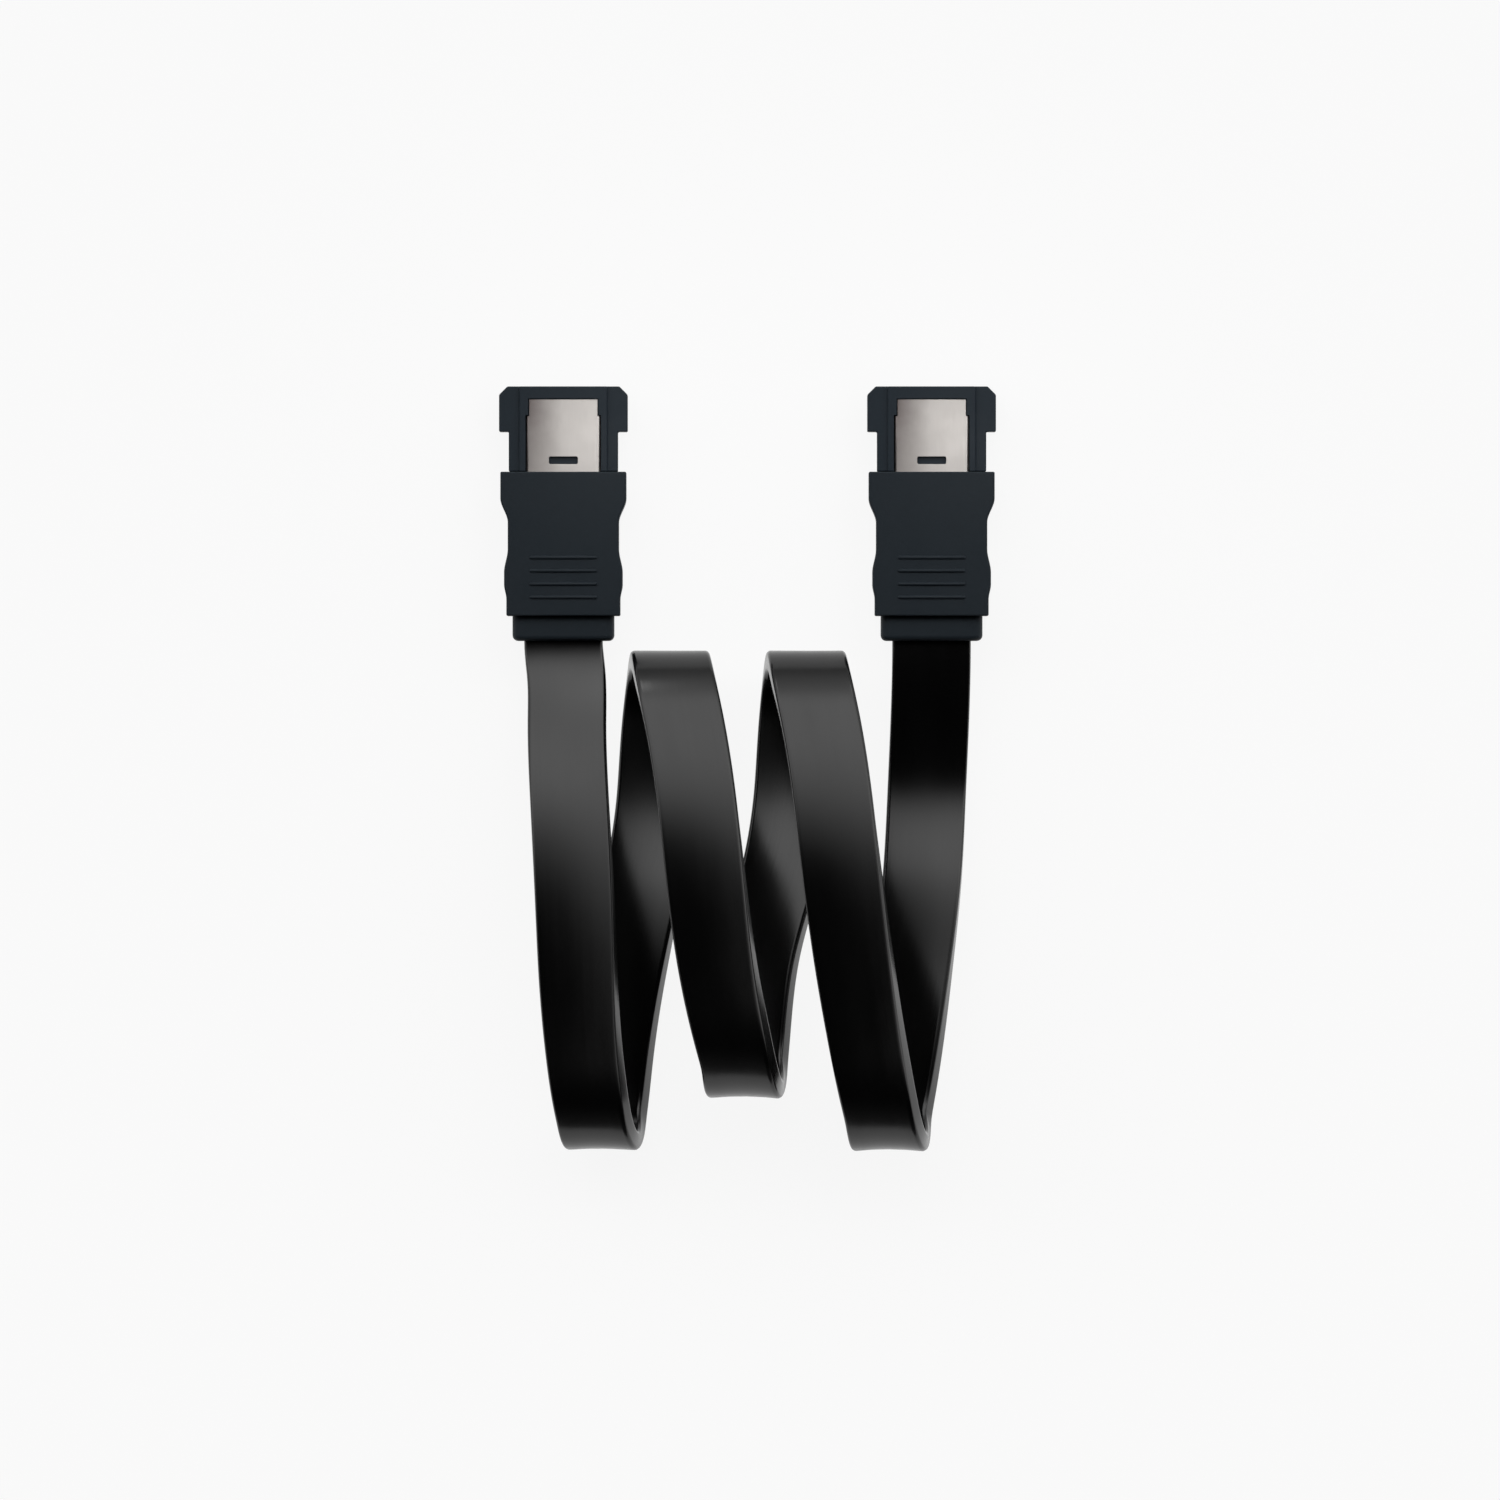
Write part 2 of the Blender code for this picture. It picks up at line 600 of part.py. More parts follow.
def smooth_curve(points, start_way, end_way):
    """A cubic curve through the points that leaves and arrives in the given directions.

    Returns a function from the chord length along the points to the values there, and the total.
    """
    values = np.array(points, float)
    chords = np.linalg.norm(np.diff(values[:, :3], axis=0), axis=1)
    knots = np.concatenate([[0], np.cumsum(chords)])
    count = len(values)
    slopes = np.diff(values, axis=0) / chords[:, None]
    system, wanted = np.zeros((count, count)), np.zeros_like(values)
    system[0, :2] = 2 * chords[0], chords[0]
    wanted[0] = 6 * (slopes[0] - start_way)
    system[-1, -2:] = chords[-1], 2 * chords[-1]
    wanted[-1] = 6 * (end_way - slopes[-1])
    for i in range(1, count - 1):
        system[i, i - 1:i + 2] = chords[i - 1], 2 * (chords[i - 1] + chords[i]), chords[i]
        wanted[i] = 6 * (slopes[i] - slopes[i - 1])
    bends = np.linalg.solve(system, wanted)

    def at(length):
        i = min(int(np.searchsorted(knots, length, side="right")) - 1, count - 2)
        before, after, chord = knots[i + 1] - length, length - knots[i], chords[i]
        cubic = (bends[i] * before ** 3 + bends[i + 1] * after ** 3) / (6 * chord)
        return (cubic + (values[i] / chord - bends[i] * chord / 6) * before
                + (values[i + 1] / chord - bends[i + 1] * chord / 6) * after)

    return at, float(knots[-1])


def jacket_sections():
    """The middle, the way along and the way across of the jacket, closer together in the bends."""
    exit_y = along(PLUG_LENGTH)
    start = (-PLUG_SPACING / 2, exit_y, PLUG_HEIGHT, 0)
    end = (PLUG_SPACING / 2, exit_y, PLUG_HEIGHT, 0)
    at, total = smooth_curve([start, *ROUTE, end], np.array((0, -1, 0, 0)), np.array((0, 1, 0, 0)))
    fine = np.array([at(total * i / 4000) for i in range(4001)])
    steps = np.diff(fine[:, :3], axis=0)
    lengths = np.linalg.norm(steps, axis=1)
    ways = steps / lengths[:, None]
    turns = np.arccos(np.clip((ways[1:] * ways[:-1]).sum(axis=1), -1, 1))
    cost = np.concatenate([[0], np.cumsum(lengths / JACKET_STEP + np.append(turns, 0) / JACKET_BEND)])
    sections = []
    for wanted in np.linspace(0, cost[-1], round(cost[-1]) + 1):
        i = min(int(np.searchsorted(cost, wanted)), len(ways) - 1)
        way = Vector(ways[i])
        lean = math.radians(fine[i, 3])
        across = Vector((math.cos(lean), 0, math.sin(lean)))
        across -= across.dot(way) * way
        sections.append((Vector(fine[i, :3]), across.normalized()))
    inside = along(JACKET_END)
    right = Vector((1, 0, 0))
    sections[0] = (Vector(start[:3]), right)
    sections[-1] = (Vector(end[:3]), right)
    first = (Vector((start[0], inside, start[2])), right)
    last = (Vector((end[0], inside, end[2])), right)
    return [first, *sections, last]


def make_jacket():
    """The flat cable: an open strip across the route, thickened, with its long edges rounded."""
    bm = bmesh.new()
    rows = []
    for middle, across in jacket_sections():
        reach = across * JACKET_WIDTH / 2
        rows.append((bm.verts.new(middle - reach), bm.verts.new(middle + reach)))
    for near, far in zip(rows, rows[1:]):
        bm.faces.new((near[0], far[0], far[1], near[1]))
    mesh = bpy.data.meshes.new("cable_jacket")
    bm.to_mesh(mesh)
    bm.free()
    jacket = add_object("cable_jacket", mesh, None, "jacket_vinyl")
    thicken(jacket, JACKET_THICKNESS)
    bevel(jacket, JACKET_EDGE, 2, angle=60)
    shade(mesh)


def make_plug(side, x):
    """All the pieces of one plug, on an empty that places them."""
    plug = bpy.data.objects.new(side + "_plug", None)
    plug.location = (x, 0, PLUG_HEIGHT)
    PARTS.objects.link(plug)
    make_housing(side, plug)
    make_latch_plate(side, plug)
    for number in range(1, CONTACT_COUNT + 1):
        make_contact(side, plug, number)
    make_wires(side, plug)
    make_inner_mould(side, plug)
    make_grip(side, plug)


clear_scene()
PARTS = new_collection("data_cable")
CUTTERS = new_collection("cutters")
make_finishes()
make_plug("left", -PLUG_SPACING / 2)
make_plug("right", PLUG_SPACING / 2)
make_jacket()
bpy.context.view_layer.update()
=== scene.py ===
# %% [markdown]
# # A flat data cable with two latching plugs
#
# The object is a flat black cable that lies in loose zigzag loops, with the same moulded plug on
# both ends. Each plug has a dark plastic head, a steel latch plate in a window, and a soft grip
# moulded over the back. The imported solids say where everything is. This lesson dresses them: it
# builds finer pieces in the same places and gives every surface its finish.

# %% Load the imported solids
import json
import math

import bmesh
import bpy
import numpy as np
from mathutils import Matrix

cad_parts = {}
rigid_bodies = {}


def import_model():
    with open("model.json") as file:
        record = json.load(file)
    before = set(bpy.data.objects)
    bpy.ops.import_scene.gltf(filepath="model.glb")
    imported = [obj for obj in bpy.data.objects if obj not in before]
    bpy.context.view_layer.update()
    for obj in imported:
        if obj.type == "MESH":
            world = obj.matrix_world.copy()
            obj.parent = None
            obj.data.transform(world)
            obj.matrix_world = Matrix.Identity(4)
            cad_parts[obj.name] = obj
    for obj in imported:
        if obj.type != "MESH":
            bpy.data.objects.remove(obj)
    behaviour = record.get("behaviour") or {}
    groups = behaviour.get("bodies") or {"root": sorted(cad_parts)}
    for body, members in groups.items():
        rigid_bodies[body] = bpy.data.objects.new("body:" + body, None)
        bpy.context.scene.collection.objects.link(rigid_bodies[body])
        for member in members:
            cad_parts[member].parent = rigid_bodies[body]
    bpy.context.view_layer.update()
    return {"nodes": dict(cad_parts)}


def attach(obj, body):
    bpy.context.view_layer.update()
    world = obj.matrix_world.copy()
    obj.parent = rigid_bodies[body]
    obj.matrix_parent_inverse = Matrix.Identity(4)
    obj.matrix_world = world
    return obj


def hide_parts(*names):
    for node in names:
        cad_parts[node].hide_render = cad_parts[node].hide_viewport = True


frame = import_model()
nodes = frame["nodes"]
scene = bpy.context.scene
print("CAD nodes:", len(nodes))

# %% [markdown]
# ## The camera
#
# The picture is taken from straight above, from far away: neither plug shows its sides. A wide lens
# held close would do for a snapshot, but it would lean the tall loops outwards. So the camera stands
# over two metres up with a very long lens, and 162 mm of the ground fill the frame.

# %% A long lens, straight above
FRAME_WIDTH = 0.162
FRAME_CENTRE = (0.00027, -0.02554)
LENS = 500
SENSOR = 36
FOCUS_HEIGHT = 0.0066
CAMERA_REACH = 10

camera_data = bpy.data.cameras.new("camera")
camera_data.lens = LENS
camera_data.sensor_width = SENSOR
camera = bpy.data.objects.new("camera", camera_data)
camera.location = (*FRAME_CENTRE, FOCUS_HEIGHT + FRAME_WIDTH * LENS / SENSOR)
camera_data.clip_end = CAMERA_REACH
scene.collection.objects.link(camera)
scene.camera = camera
print("camera height in m:", round(camera.location.z, 3))

# %% [markdown]
# ## How materials are wired here
#
# Every finish below is a Principled shader whose colour, roughness and bump change over the
# surface. Wiring nodes by hand takes many lines, so three small helpers do it: one adds a node and
# sets its inputs, one starts a material, and one starts a shader node group with named sockets.


# %% Helpers for node trees
def add_node(tree, kind, values=None, **settings):
    """Adds a node, sets its properties, then sets or links its inputs by name or number."""
    node = tree.nodes.new(kind)
    for name, value in settings.items():
        setattr(node, name, value)
    for key, value in (values or {}).items():
        if isinstance(value, bpy.types.NodeSocket):
            tree.links.new(value, node.inputs[key])
        else:
            node.inputs[key].default_value = value
    return node


def maths(tree, operation, *values):
    """A Math node's output."""
    return add_node(tree, "ShaderNodeMath", dict(enumerate(values)), operation=operation).outputs[0]


def remap(tree, value, low, high, new_low, new_high):
    """Stretches a value from one range to another, clamped."""
    return add_node(tree, "ShaderNodeMapRange", {
        "Value": value, "From Min": low, "From Max": high, "To Min": new_low, "To Max": new_high,
    }).outputs[0]


def mix_colour(tree, factor, first, second):
    """Mixes two colours, given as sockets or as values."""
    node = add_node(tree, "ShaderNodeMix", data_type="RGBA")
    for socket, value in ((node.inputs[0], factor), (node.inputs[6], first), (node.inputs[7], second)):
        if isinstance(value, bpy.types.NodeSocket):
            tree.links.new(value, socket)
        else:
            socket.default_value = value
    return node.outputs[2]


def new_material(name):
    """A material with only its output and a Principled shader. Returns it with its tree and shader."""
    material = bpy.data.materials.new(name)
    material.use_nodes = True
    tree = material.node_tree
    shader = tree.nodes["Principled BSDF"]
    return material, tree, shader


def new_group(name, inputs, outputs):
    """A shader node group with named sockets. Returns its tree and its two end nodes."""
    group = bpy.data.node_groups.new(name, "ShaderNodeTree")
    for socket, kind, value in inputs:
        made = group.interface.new_socket(socket, in_out="INPUT", socket_type=kind)
        if value is not None:
            made.default_value = value
    for socket, kind in outputs:
        group.interface.new_socket(socket, in_out="OUTPUT", socket_type=kind)
    return group, add_node(group, "NodeGroupInput"), add_node(group, "NodeGroupOutput")


def use_group(tree, group, values):
    """Places a shader node group in a material."""
    node = add_node(tree, "ShaderNodeGroup")
    node.node_tree = group
    for key, value in values.items():
        if isinstance(value, bpy.types.NodeSocket):
            tree.links.new(value, node.inputs[key])
        else:
            node.inputs[key].default_value = value
    return node


print("materials before the first one:", len(bpy.data.materials))

# %% [markdown]
# ## The ground
#
# The picture has a plain white ground. A white plane under strong light would throw light up at the
# cable from everywhere, and black things would turn grey. Instead the floor is white by itself for
# the camera and for reflections, and only a part of its colour comes from the light, which keeps a
# soft shadow.

# %% The floor
FLOOR_SIZE = 6
FLOOR_WHITE = 0.9
FLOOR_GLOW = 0.9

floor_material, tree, shader = new_material("floor")
shader.inputs["Base Color"].default_value = (FLOOR_WHITE,) * 3 + (1,)
shader.inputs["Roughness"].default_value = 0.9
shader.inputs["Specular IOR Level"].default_value = 0
glow = add_node(tree, "ShaderNodeEmission", {"Color": (1, 1, 1, 1), "Strength": 1.0})
ray = add_node(tree, "ShaderNodeLightPath")
seen = maths(tree, "MAXIMUM", ray.outputs["Is Camera Ray"], ray.outputs["Is Transmission Ray"])
seen = maths(tree, "MAXIMUM", seen, ray.outputs["Is Glossy Ray"])
blend = add_node(tree, "ShaderNodeMixShader", {
    0: maths(tree, "MULTIPLY", seen, FLOOR_GLOW), 1: shader.outputs[0], 2: glow.outputs[0]})
tree.links.new(blend.outputs[0], tree.nodes["Material Output"].inputs["Surface"])

bm = bmesh.new()
bmesh.ops.create_grid(bm, x_segments=1, y_segments=1, size=FLOOR_SIZE / 2)
floor_mesh = bpy.data.meshes.new("floor")
bm.to_mesh(floor_mesh)
bm.free()
floor_mesh.materials.append(floor_material)
floor = bpy.data.objects.new("floor", floor_mesh)
scene.collection.objects.link(floor)
print("floor's side in m:", FLOOR_SIZE)

# %% [markdown]
# ## The light
#
# A black satin cable shows almost nothing but reflections. In the picture each strand is brightest
# where it climbs away from the plugs and black where it lies level, so what it reflects is one long
# softbox behind the plugs, and darkness overhead. The softbox is part of the sky here: the sky's
# brightness follows how far a direction leans from straight up towards the plugs' side. Large lamps
# would do the same, but a colour ramp sets the brightness of every direction by itself.

# %% The sky, with a long softbox in it
world = bpy.data.worlds.new("studio")
world.use_nodes = True
scene.world = world
tree = world.node_tree
direction = add_node(tree, "ShaderNodeTexCoord").outputs["Generated"]
parts = add_node(tree, "ShaderNodeSeparateXYZ", {0: direction})
lean = maths(tree, "ARCTAN2", parts.outputs["Y"], parts.outputs["Z"])
ramp = add_node(tree, "ShaderNodeValToRGB", {0: maths(tree, "MULTIPLY_ADD", lean, 1 / math.pi, 0.5)})
SOFTBOX_LEVEL = 2.6
SOFTBOX = ((-90, 0.05), (-40, 0.0), (2, 0.0), (10, 0.03), (18, 0.24), (28, 0.72), (34, 0.93), (40, 0.90),
           (50, 0.5), (90, 0.10))
HORIZON_BAND = 0.06
for _ in SOFTBOX[2:]:
    ramp.color_ramp.elements.new(0.5)
for element, (degrees, grey) in zip(ramp.color_ramp.elements, SOFTBOX):
    element.position = degrees / 180 + 0.5
    element.color = (grey, grey, grey, 1)
softbox = maths(tree, "MULTIPLY", ramp.outputs[0], SOFTBOX_LEVEL)
horizon = remap(tree, parts.outputs["Z"], 0.0, HORIZON_BAND, 1.0, 0.0)
level = maths(tree, "MAXIMUM", softbox, horizon)
background = tree.nodes["Background"]
background.inputs["Color"].default_value = (1, 1, 1, 1)
tree.links.new(level, background.inputs["Strength"])
print("softbox at its brightest:", round(SOFTBOX_LEVEL * max(grey for _, grey in SOFTBOX), 2))

# %% [markdown]
# ## A panel over each plug
#
# The steel plates lie level too, but they shine in the picture, most of all on their right. A lamp
# far away would also brighten the level stretches of the cable. So a small soft panel hangs 3 cm
# above each plug, a little to its right, and it is too weak to light anything else.

# %% Two small panels
PANEL_HEIGHT = 0.030
PANEL_POWER = 0.00106
PANEL_SIZE = (0.009, 0.014)
PANEL_PLACES = ((-0.0149, 0.0100), (0.0249, 0.0100))
for place in PANEL_PLACES:
    data = bpy.data.lights.new("panel_over_plug", "AREA")
    data.shape = "RECTANGLE"
    data.size, data.size_y = PANEL_SIZE
    data.energy = PANEL_POWER
    panel = bpy.data.objects.new("panel_over_plug", data)
    panel.location = (*place, PANEL_HEIGHT)
    panel.visible_camera = False
    scene.collection.objects.link(panel)
scene.view_settings.view_transform = "Standard"
print("panels:", len(PANEL_PLACES), "of", PANEL_POWER, "W each")

# %% [markdown]
# ## The cable's route
#
# The cable is one strip that leaves the left plug, arches up, turns under itself and comes back,
# three times over. A cloth or rope simulation would let it fall somewhere, but not where the picture
# has it. So its route is a short list of given points, each with the lean of the strip there.

# %% The route's points, in metres and degrees
PLUG_LENGTH = 0.0275
PLUG_X = 0.0199
PLUG_Z = 0.0033
ROUTE = [
    (-0.0196, -0.0174, 0.00395, 0),
    (-0.0195, -0.0229, 0.0059, 0),
    (-0.0192, -0.0310, 0.0085, 1),
    (-0.0186, -0.0423, 0.0105, 8),
    (-0.0175, -0.0591, 0.0113, 25),
    (-0.0163, -0.0663, 0.01, 28),
    (-0.0157, -0.0675, 0.0072, 28),
    (-0.0152, -0.0663, 0.0044, 28),
    (-0.0144, -0.0593, 0.0033, 26),
    (-0.0129, -0.0488, 0.0044, 20),
    (-0.0113, -0.0402, 0.004, 11),
    (-0.0100, -0.0319, 0.0022, 3),
    (-0.0094, -0.0234, 0.00155, 0),
    (-0.0087, -0.0173, 0.00275, 0),
    (-0.0084, -0.0159, 0.0059, 0),
    (-0.0080, -0.0172, 0.0091, 0),
    (-0.0069, -0.0221, 0.0117, 0),
    (-0.0050, -0.0348, 0.0148, 2),
    (-0.0025, -0.0526, 0.0156, 22),
    (-0.0007, -0.0605, 0.0141, 28),
    (-0.0003, -0.0618, 0.0109, 28),
    (0.0001, -0.0605, 0.0077, 28),
    (0.0006, -0.0548, 0.0063, 26),
    (0.0015, -0.0472, 0.0058, 20),
    (0.0036, -0.0388, 0.0045, 11),
    (0.0049, -0.0310, 0.0024, 3),
    (0.0054, -0.0234, 0.00155, 0),
    (0.0060, -0.0173, 0.00275, 0),
    (0.0063, -0.0159, 0.0059, 0),
    (0.0067, -0.0172, 0.0091, 0),
    (0.0078, -0.0221, 0.0117, 0),
    (0.0099, -0.0366, 0.015, 3),
    (0.0130, -0.0575, 0.0156, 24),
    (0.0148, -0.0662, 0.0141, 28),
    (0.0153, -0.0675, 0.0109, 28),
    (0.0156, -0.0662, 0.0077, 28),
    (0.0166, -0.0596, 0.0062, 24),
    (0.0179, -0.0488, 0.0055, 12),
    (0.0189, -0.0391, 0.0042, 3),
    (0.0194, -0.0299, 0.0021, 0),
]
print("points on the route:", len(ROUTE))

# %% [markdown]
# ## A smooth curve through the points
#
# A real cable's bend changes gradually, and it leaves both plugs straight. Blender's own curves
# would need handles at every point. A cubic spline needs none: one small system of equations makes
# the bend change evenly from point to point, and it can say where the cable is at any length.


# %% A cubic spline by length
def smooth_curve(points, start_way, end_way):
    """A cubic through the points, by chord length, that leaves and arrives in the given directions."""
    values = np.array(points, float)
    chords = np.linalg.norm(np.diff(values[:, :3], axis=0), axis=1)
    knots = np.concatenate([[0], np.cumsum(chords)])
    count = len(values)
    slopes = np.diff(values, axis=0) / chords[:, None]
    system, wanted = np.zeros((count, count)), np.zeros_like(values)
    system[0, :2] = 2 * chords[0], chords[0]
    wanted[0] = 6 * (slopes[0] - start_way)
    system[-1, -2:] = chords[-1], 2 * chords[-1]
    wanted[-1] = 6 * (end_way - slopes[-1])
    for i in range(1, count - 1):
        system[i, i - 1:i + 2] = chords[i - 1], 2 * (chords[i - 1] + chords[i]), chords[i]
        wanted[i] = 6 * (slopes[i] - slopes[i - 1])
    bends = np.linalg.solve(system, wanted)

    def at(length):
        i = min(int(np.searchsorted(knots, length, side="right")) - 1, count - 2)
        before, after, chord = knots[i + 1] - length, length - knots[i], chords[i]
        cubic = (bends[i] * before ** 3 + bends[i + 1] * after ** 3) / (6 * chord)
        return (cubic + (values[i] / chord - bends[i] * chord / 6) * before
                + (values[i + 1] / chord - bends[i + 1] * chord / 6) * after)

    return at, float(knots[-1])


direct = np.linalg.norm(np.diff(np.array(ROUTE)[:, :3], axis=0), axis=1).sum()
print("straight from point to point in mm:", round(float(direct) * 1000, 1))

# %% Places along the cable
RING_SPACING = 0.0006
JACKET_INSIDE = 0.0073
INSIDE_RINGS = 11
exit_left = (-PLUG_X, -PLUG_LENGTH / 2, PLUG_Z, 0)
exit_right = (PLUG_X, -PLUG_LENGTH / 2, PLUG_Z, 0)
at, total = smooth_curve([exit_left, *ROUTE, exit_right], np.array((0, -1, 0, 0)), np.array((0, 1, 0, 0)))
ring_count = round(total / RING_SPACING)
centres = np.array([at(total * i / ring_count) for i in range(ring_count + 1)])
inner = np.linspace(JACKET_INSIDE, 0, INSIDE_RINGS + 1)[:-1]
left_inside = [(-PLUG_X, -PLUG_LENGTH / 2 + reach, PLUG_Z, 0) for reach in inner]
right_inside = [(PLUG_X, -PLUG_LENGTH / 2 + reach, PLUG_Z, 0) for reach in inner[::-1]]
centres = np.vstack([left_inside, centres, right_inside])
steps = np.linalg.norm(np.diff(centres[:, :3], axis=0), axis=1)

# %% [markdown]
# ## The cable
#
# Flat cable is extruded: the same rounded rectangle all the way, with faint lines along it. A
# curve with a bevel object would turn its flat side as it liked, so the rings are placed here one
# by one, square to the route and turned by its lean. Each ring's points also get a UV: how far
# along the cable they are, and how far round. The lines of the finish follow that.

# %% The cable's section
JACKET_WIDTH = 0.0085
JACKET_THICKNESS = 0.0022
JACKET_EDGE = 0.00045
EDGE_STEPS = 5
FACE_STEPS = 6


def jacket_section():
    """Points round the cable's rounded rectangle, across and up."""
    points = []
    half_width, half_thickness = JACKET_WIDTH / 2 - JACKET_EDGE, JACKET_THICKNESS / 2 - JACKET_EDGE
    corners = ((half_width, half_thickness, 0), (-half_width, half_thickness, 90),
               (-half_width, -half_thickness, 180), (half_width, -half_thickness, 270))
    for x, y, first in corners:
        for i in range(EDGE_STEPS):
            turn = math.radians(first + 90 * i / (EDGE_STEPS - 1))
            points.append((x + JACKET_EDGE * math.cos(turn), y + JACKET_EDGE * math.sin(turn)))
        if first in (0, 180):
            side = 1 if first == 0 else -1
            for i in range(1, FACE_STEPS):
                share = 1 - 2 * i / FACE_STEPS
                points.append((side * half_width * share, side * JACKET_THICKNESS / 2))
    return points


section = jacket_section()
print("points round the cable:", len(section))

# %% Which way each ring faces
ways = np.gradient(centres[:, :3], axis=0)
ways /= np.linalg.norm(ways, axis=1)[:, None]
leans = np.radians(centres[:, 3])
across = np.stack([np.cos(leans), np.zeros_like(leans), np.sin(leans)], axis=1)
across -= (across * ways).sum(axis=1)[:, None] * ways
across /= np.linalg.norm(across, axis=1)[:, None]
up = np.cross(across, ways)
run = np.concatenate([[0], np.cumsum(steps)])
sides = [math.dist(section[i], section[(i + 1) % len(section)]) for i in range(len(section))]
girth = np.concatenate([[0], np.cumsum(sides)])
print("distance round the cable in mm:", round(girth[-1] * 1000, 2))

# %% The rings become a mesh
bm = bmesh.new()
uv_layer = bm.loops.layers.uv.new("along_and_round")
rings = [[bm.verts.new(centre[:3] + x * side + y * normal) for x, y in section]
         for centre, side, normal in zip(centres, across, up)]
count = len(section)
for i in range(len(rings) - 1):
    for j in range(count):
        k = (j + 1) % count
        face = bm.faces.new((rings[i][j], rings[i][k], rings[i + 1][k], rings[i + 1][j]))
        places = ((i, j), (i, j + 1), (i + 1, j + 1), (i + 1, j))
        for loop, (ring, corner) in zip(face.loops, places):
            loop[uv_layer].uv = (run[ring], girth[corner])
bm.faces.new(rings[0][::-1])
bm.faces.new(rings[-1])
bmesh.ops.recalc_face_normals(bm, faces=bm.faces)
cable_mesh = bpy.data.meshes.new("flat_cable")
bm.to_mesh(cable_mesh)
bm.free()
print("faces from the rings:", len(cable_mesh.polygons))

# %% [markdown]
# ## Finishes in small recipes
#
# The same few things make every surface here look real, so each is a shader node group that any
# material can use. The first ones are edges that handling has rubbed, a hand's smudges, and the grain
# of a spark-eroded mould. A group hands out only values that change over the surface. What stays the
# same sits on the shader itself.

# %% Rubbed edges, smudges and moulded grain
FLOAT, VECTOR, COLOUR = "NodeSocketFloat", "NodeSocketVector", "NodeSocketColor"


def noise(tree, vector, scale, detail=2.0):
    """A noise texture's value."""
    return add_node(tree, "ShaderNodeTexNoise", {
        "Vector": vector, "Scale": scale, "Detail": detail}).outputs[0]


def stretched(tree, vector, *scales):
    """A vector with each of its parts scaled."""
    return add_node(tree, "ShaderNodeVectorMath", {0: vector, 1: scales}, operation="MULTIPLY").outputs[0]


EDGE_PATCHES, EDGE_WEAR = 900, 0.7
rubbed_edges, given, result = new_group(
    "rubbed_edges",
    [("Vector", VECTOR, None), ("Color", COLOUR, None), ("Rubbed", COLOUR, None), ("Radius", FLOAT, 0.0002)],
    [("Color", COLOUR)])
rounded = add_node(rubbed_edges, "ShaderNodeBevel", {"Radius": given.outputs["Radius"]}, samples=6)
plain = add_node(rubbed_edges, "ShaderNodeNewGeometry")
match = add_node(rubbed_edges, "ShaderNodeVectorMath", {
    0: rounded.outputs[0], 1: plain.outputs["Normal"]}, operation="DOT_PRODUCT").outputs["Value"]
edge = remap(rubbed_edges, match, 0.99, 0.80, 0.0, EDGE_WEAR)
patches = noise(rubbed_edges, given.outputs["Vector"], EDGE_PATCHES, 3.0)
patchy = remap(rubbed_edges, patches, 0.42, 0.62, 0.1, 1.0)
colour = mix_colour(rubbed_edges, maths(rubbed_edges, "MULTIPLY", edge, patchy),
                    given.outputs["Color"], given.outputs["Rubbed"])
rubbed_edges.links.new(colour, result.inputs["Color"])

smudged, given, result = new_group(
    "smudged",
    [("Vector", VECTOR, None), ("Roughness", FLOAT, 0.5), ("Change", FLOAT, 0.1), ("Scale", FLOAT, 300)],
    [("Roughness", FLOAT)])
patches = remap(smudged, noise(smudged, given.outputs["Vector"], given.outputs["Scale"], 4.0),
                0.35, 0.65, -0.5, 0.5)
lower = maths(smudged, "MULTIPLY", patches, given.outputs["Change"])
smudged.links.new(maths(smudged, "ADD", lower, given.outputs["Roughness"]), result.inputs["Roughness"])

moulded_grain, given, result = new_group(
    "moulded_grain", [("Vector", VECTOR, None), ("Scale", FLOAT, 9000)], [("Height", FLOAT)])
fine = noise(moulded_grain, given.outputs["Vector"], given.outputs["Scale"], 3.0)
pit_scale = maths(moulded_grain, "MULTIPLY", given.outputs["Scale"], 0.45)
pits = add_node(moulded_grain, "ShaderNodeTexVoronoi", {
    "Vector": given.outputs["Vector"], "Scale": pit_scale}, feature="SMOOTH_F1").outputs["Distance"]
moulded_grain.links.new(maths(moulded_grain, "MULTIPLY_ADD", pits, 0.5, fine), result.inputs["Height"])

print("groups for any surface:", [group.name for group in bpy.data.node_groups])

# %% [markdown]
# ## Lines, strokes and painted shade
#
# Three more groups follow. Two follow how a piece was made: an extruder draws faint lines along a
# cable, so that group reads the cable's own UV, stretched along it, and a brush leaves fine strokes
# and a few deeper scratches on steel. The third paints shade on the steel plate: a dark brownish
# colour, strongest on the plate's left and towards its front, mixed in by the plate's own plan.

# %% Extruded lines
EXTRUDER_LINES, EXTRUDER_GRAIN = (12.0, 5200.0, 1.0), (2600.0, 5200.0, 1.0)
EXTRUDER_CLOUDS = (90.0, 260.0, 1.0)
extruded_lines, given, result = new_group(
    "extruded_lines", [("UV", VECTOR, None), ("Roughness", FLOAT, 0.3)],
    [("Height", FLOAT), ("Roughness", FLOAT)])
lines = noise(extruded_lines, stretched(extruded_lines, given.outputs["UV"], *EXTRUDER_LINES), 1.0, 2.0)
grain = noise(extruded_lines, stretched(extruded_lines, given.outputs["UV"], *EXTRUDER_GRAIN), 1.0, 3.0)
height = maths(extruded_lines, "MULTIPLY_ADD", grain, 0.35, lines)
extruded_lines.links.new(height, result.inputs["Height"])
clouds = noise(extruded_lines, stretched(extruded_lines, given.outputs["UV"], *EXTRUDER_CLOUDS), 1.0, 3.0)
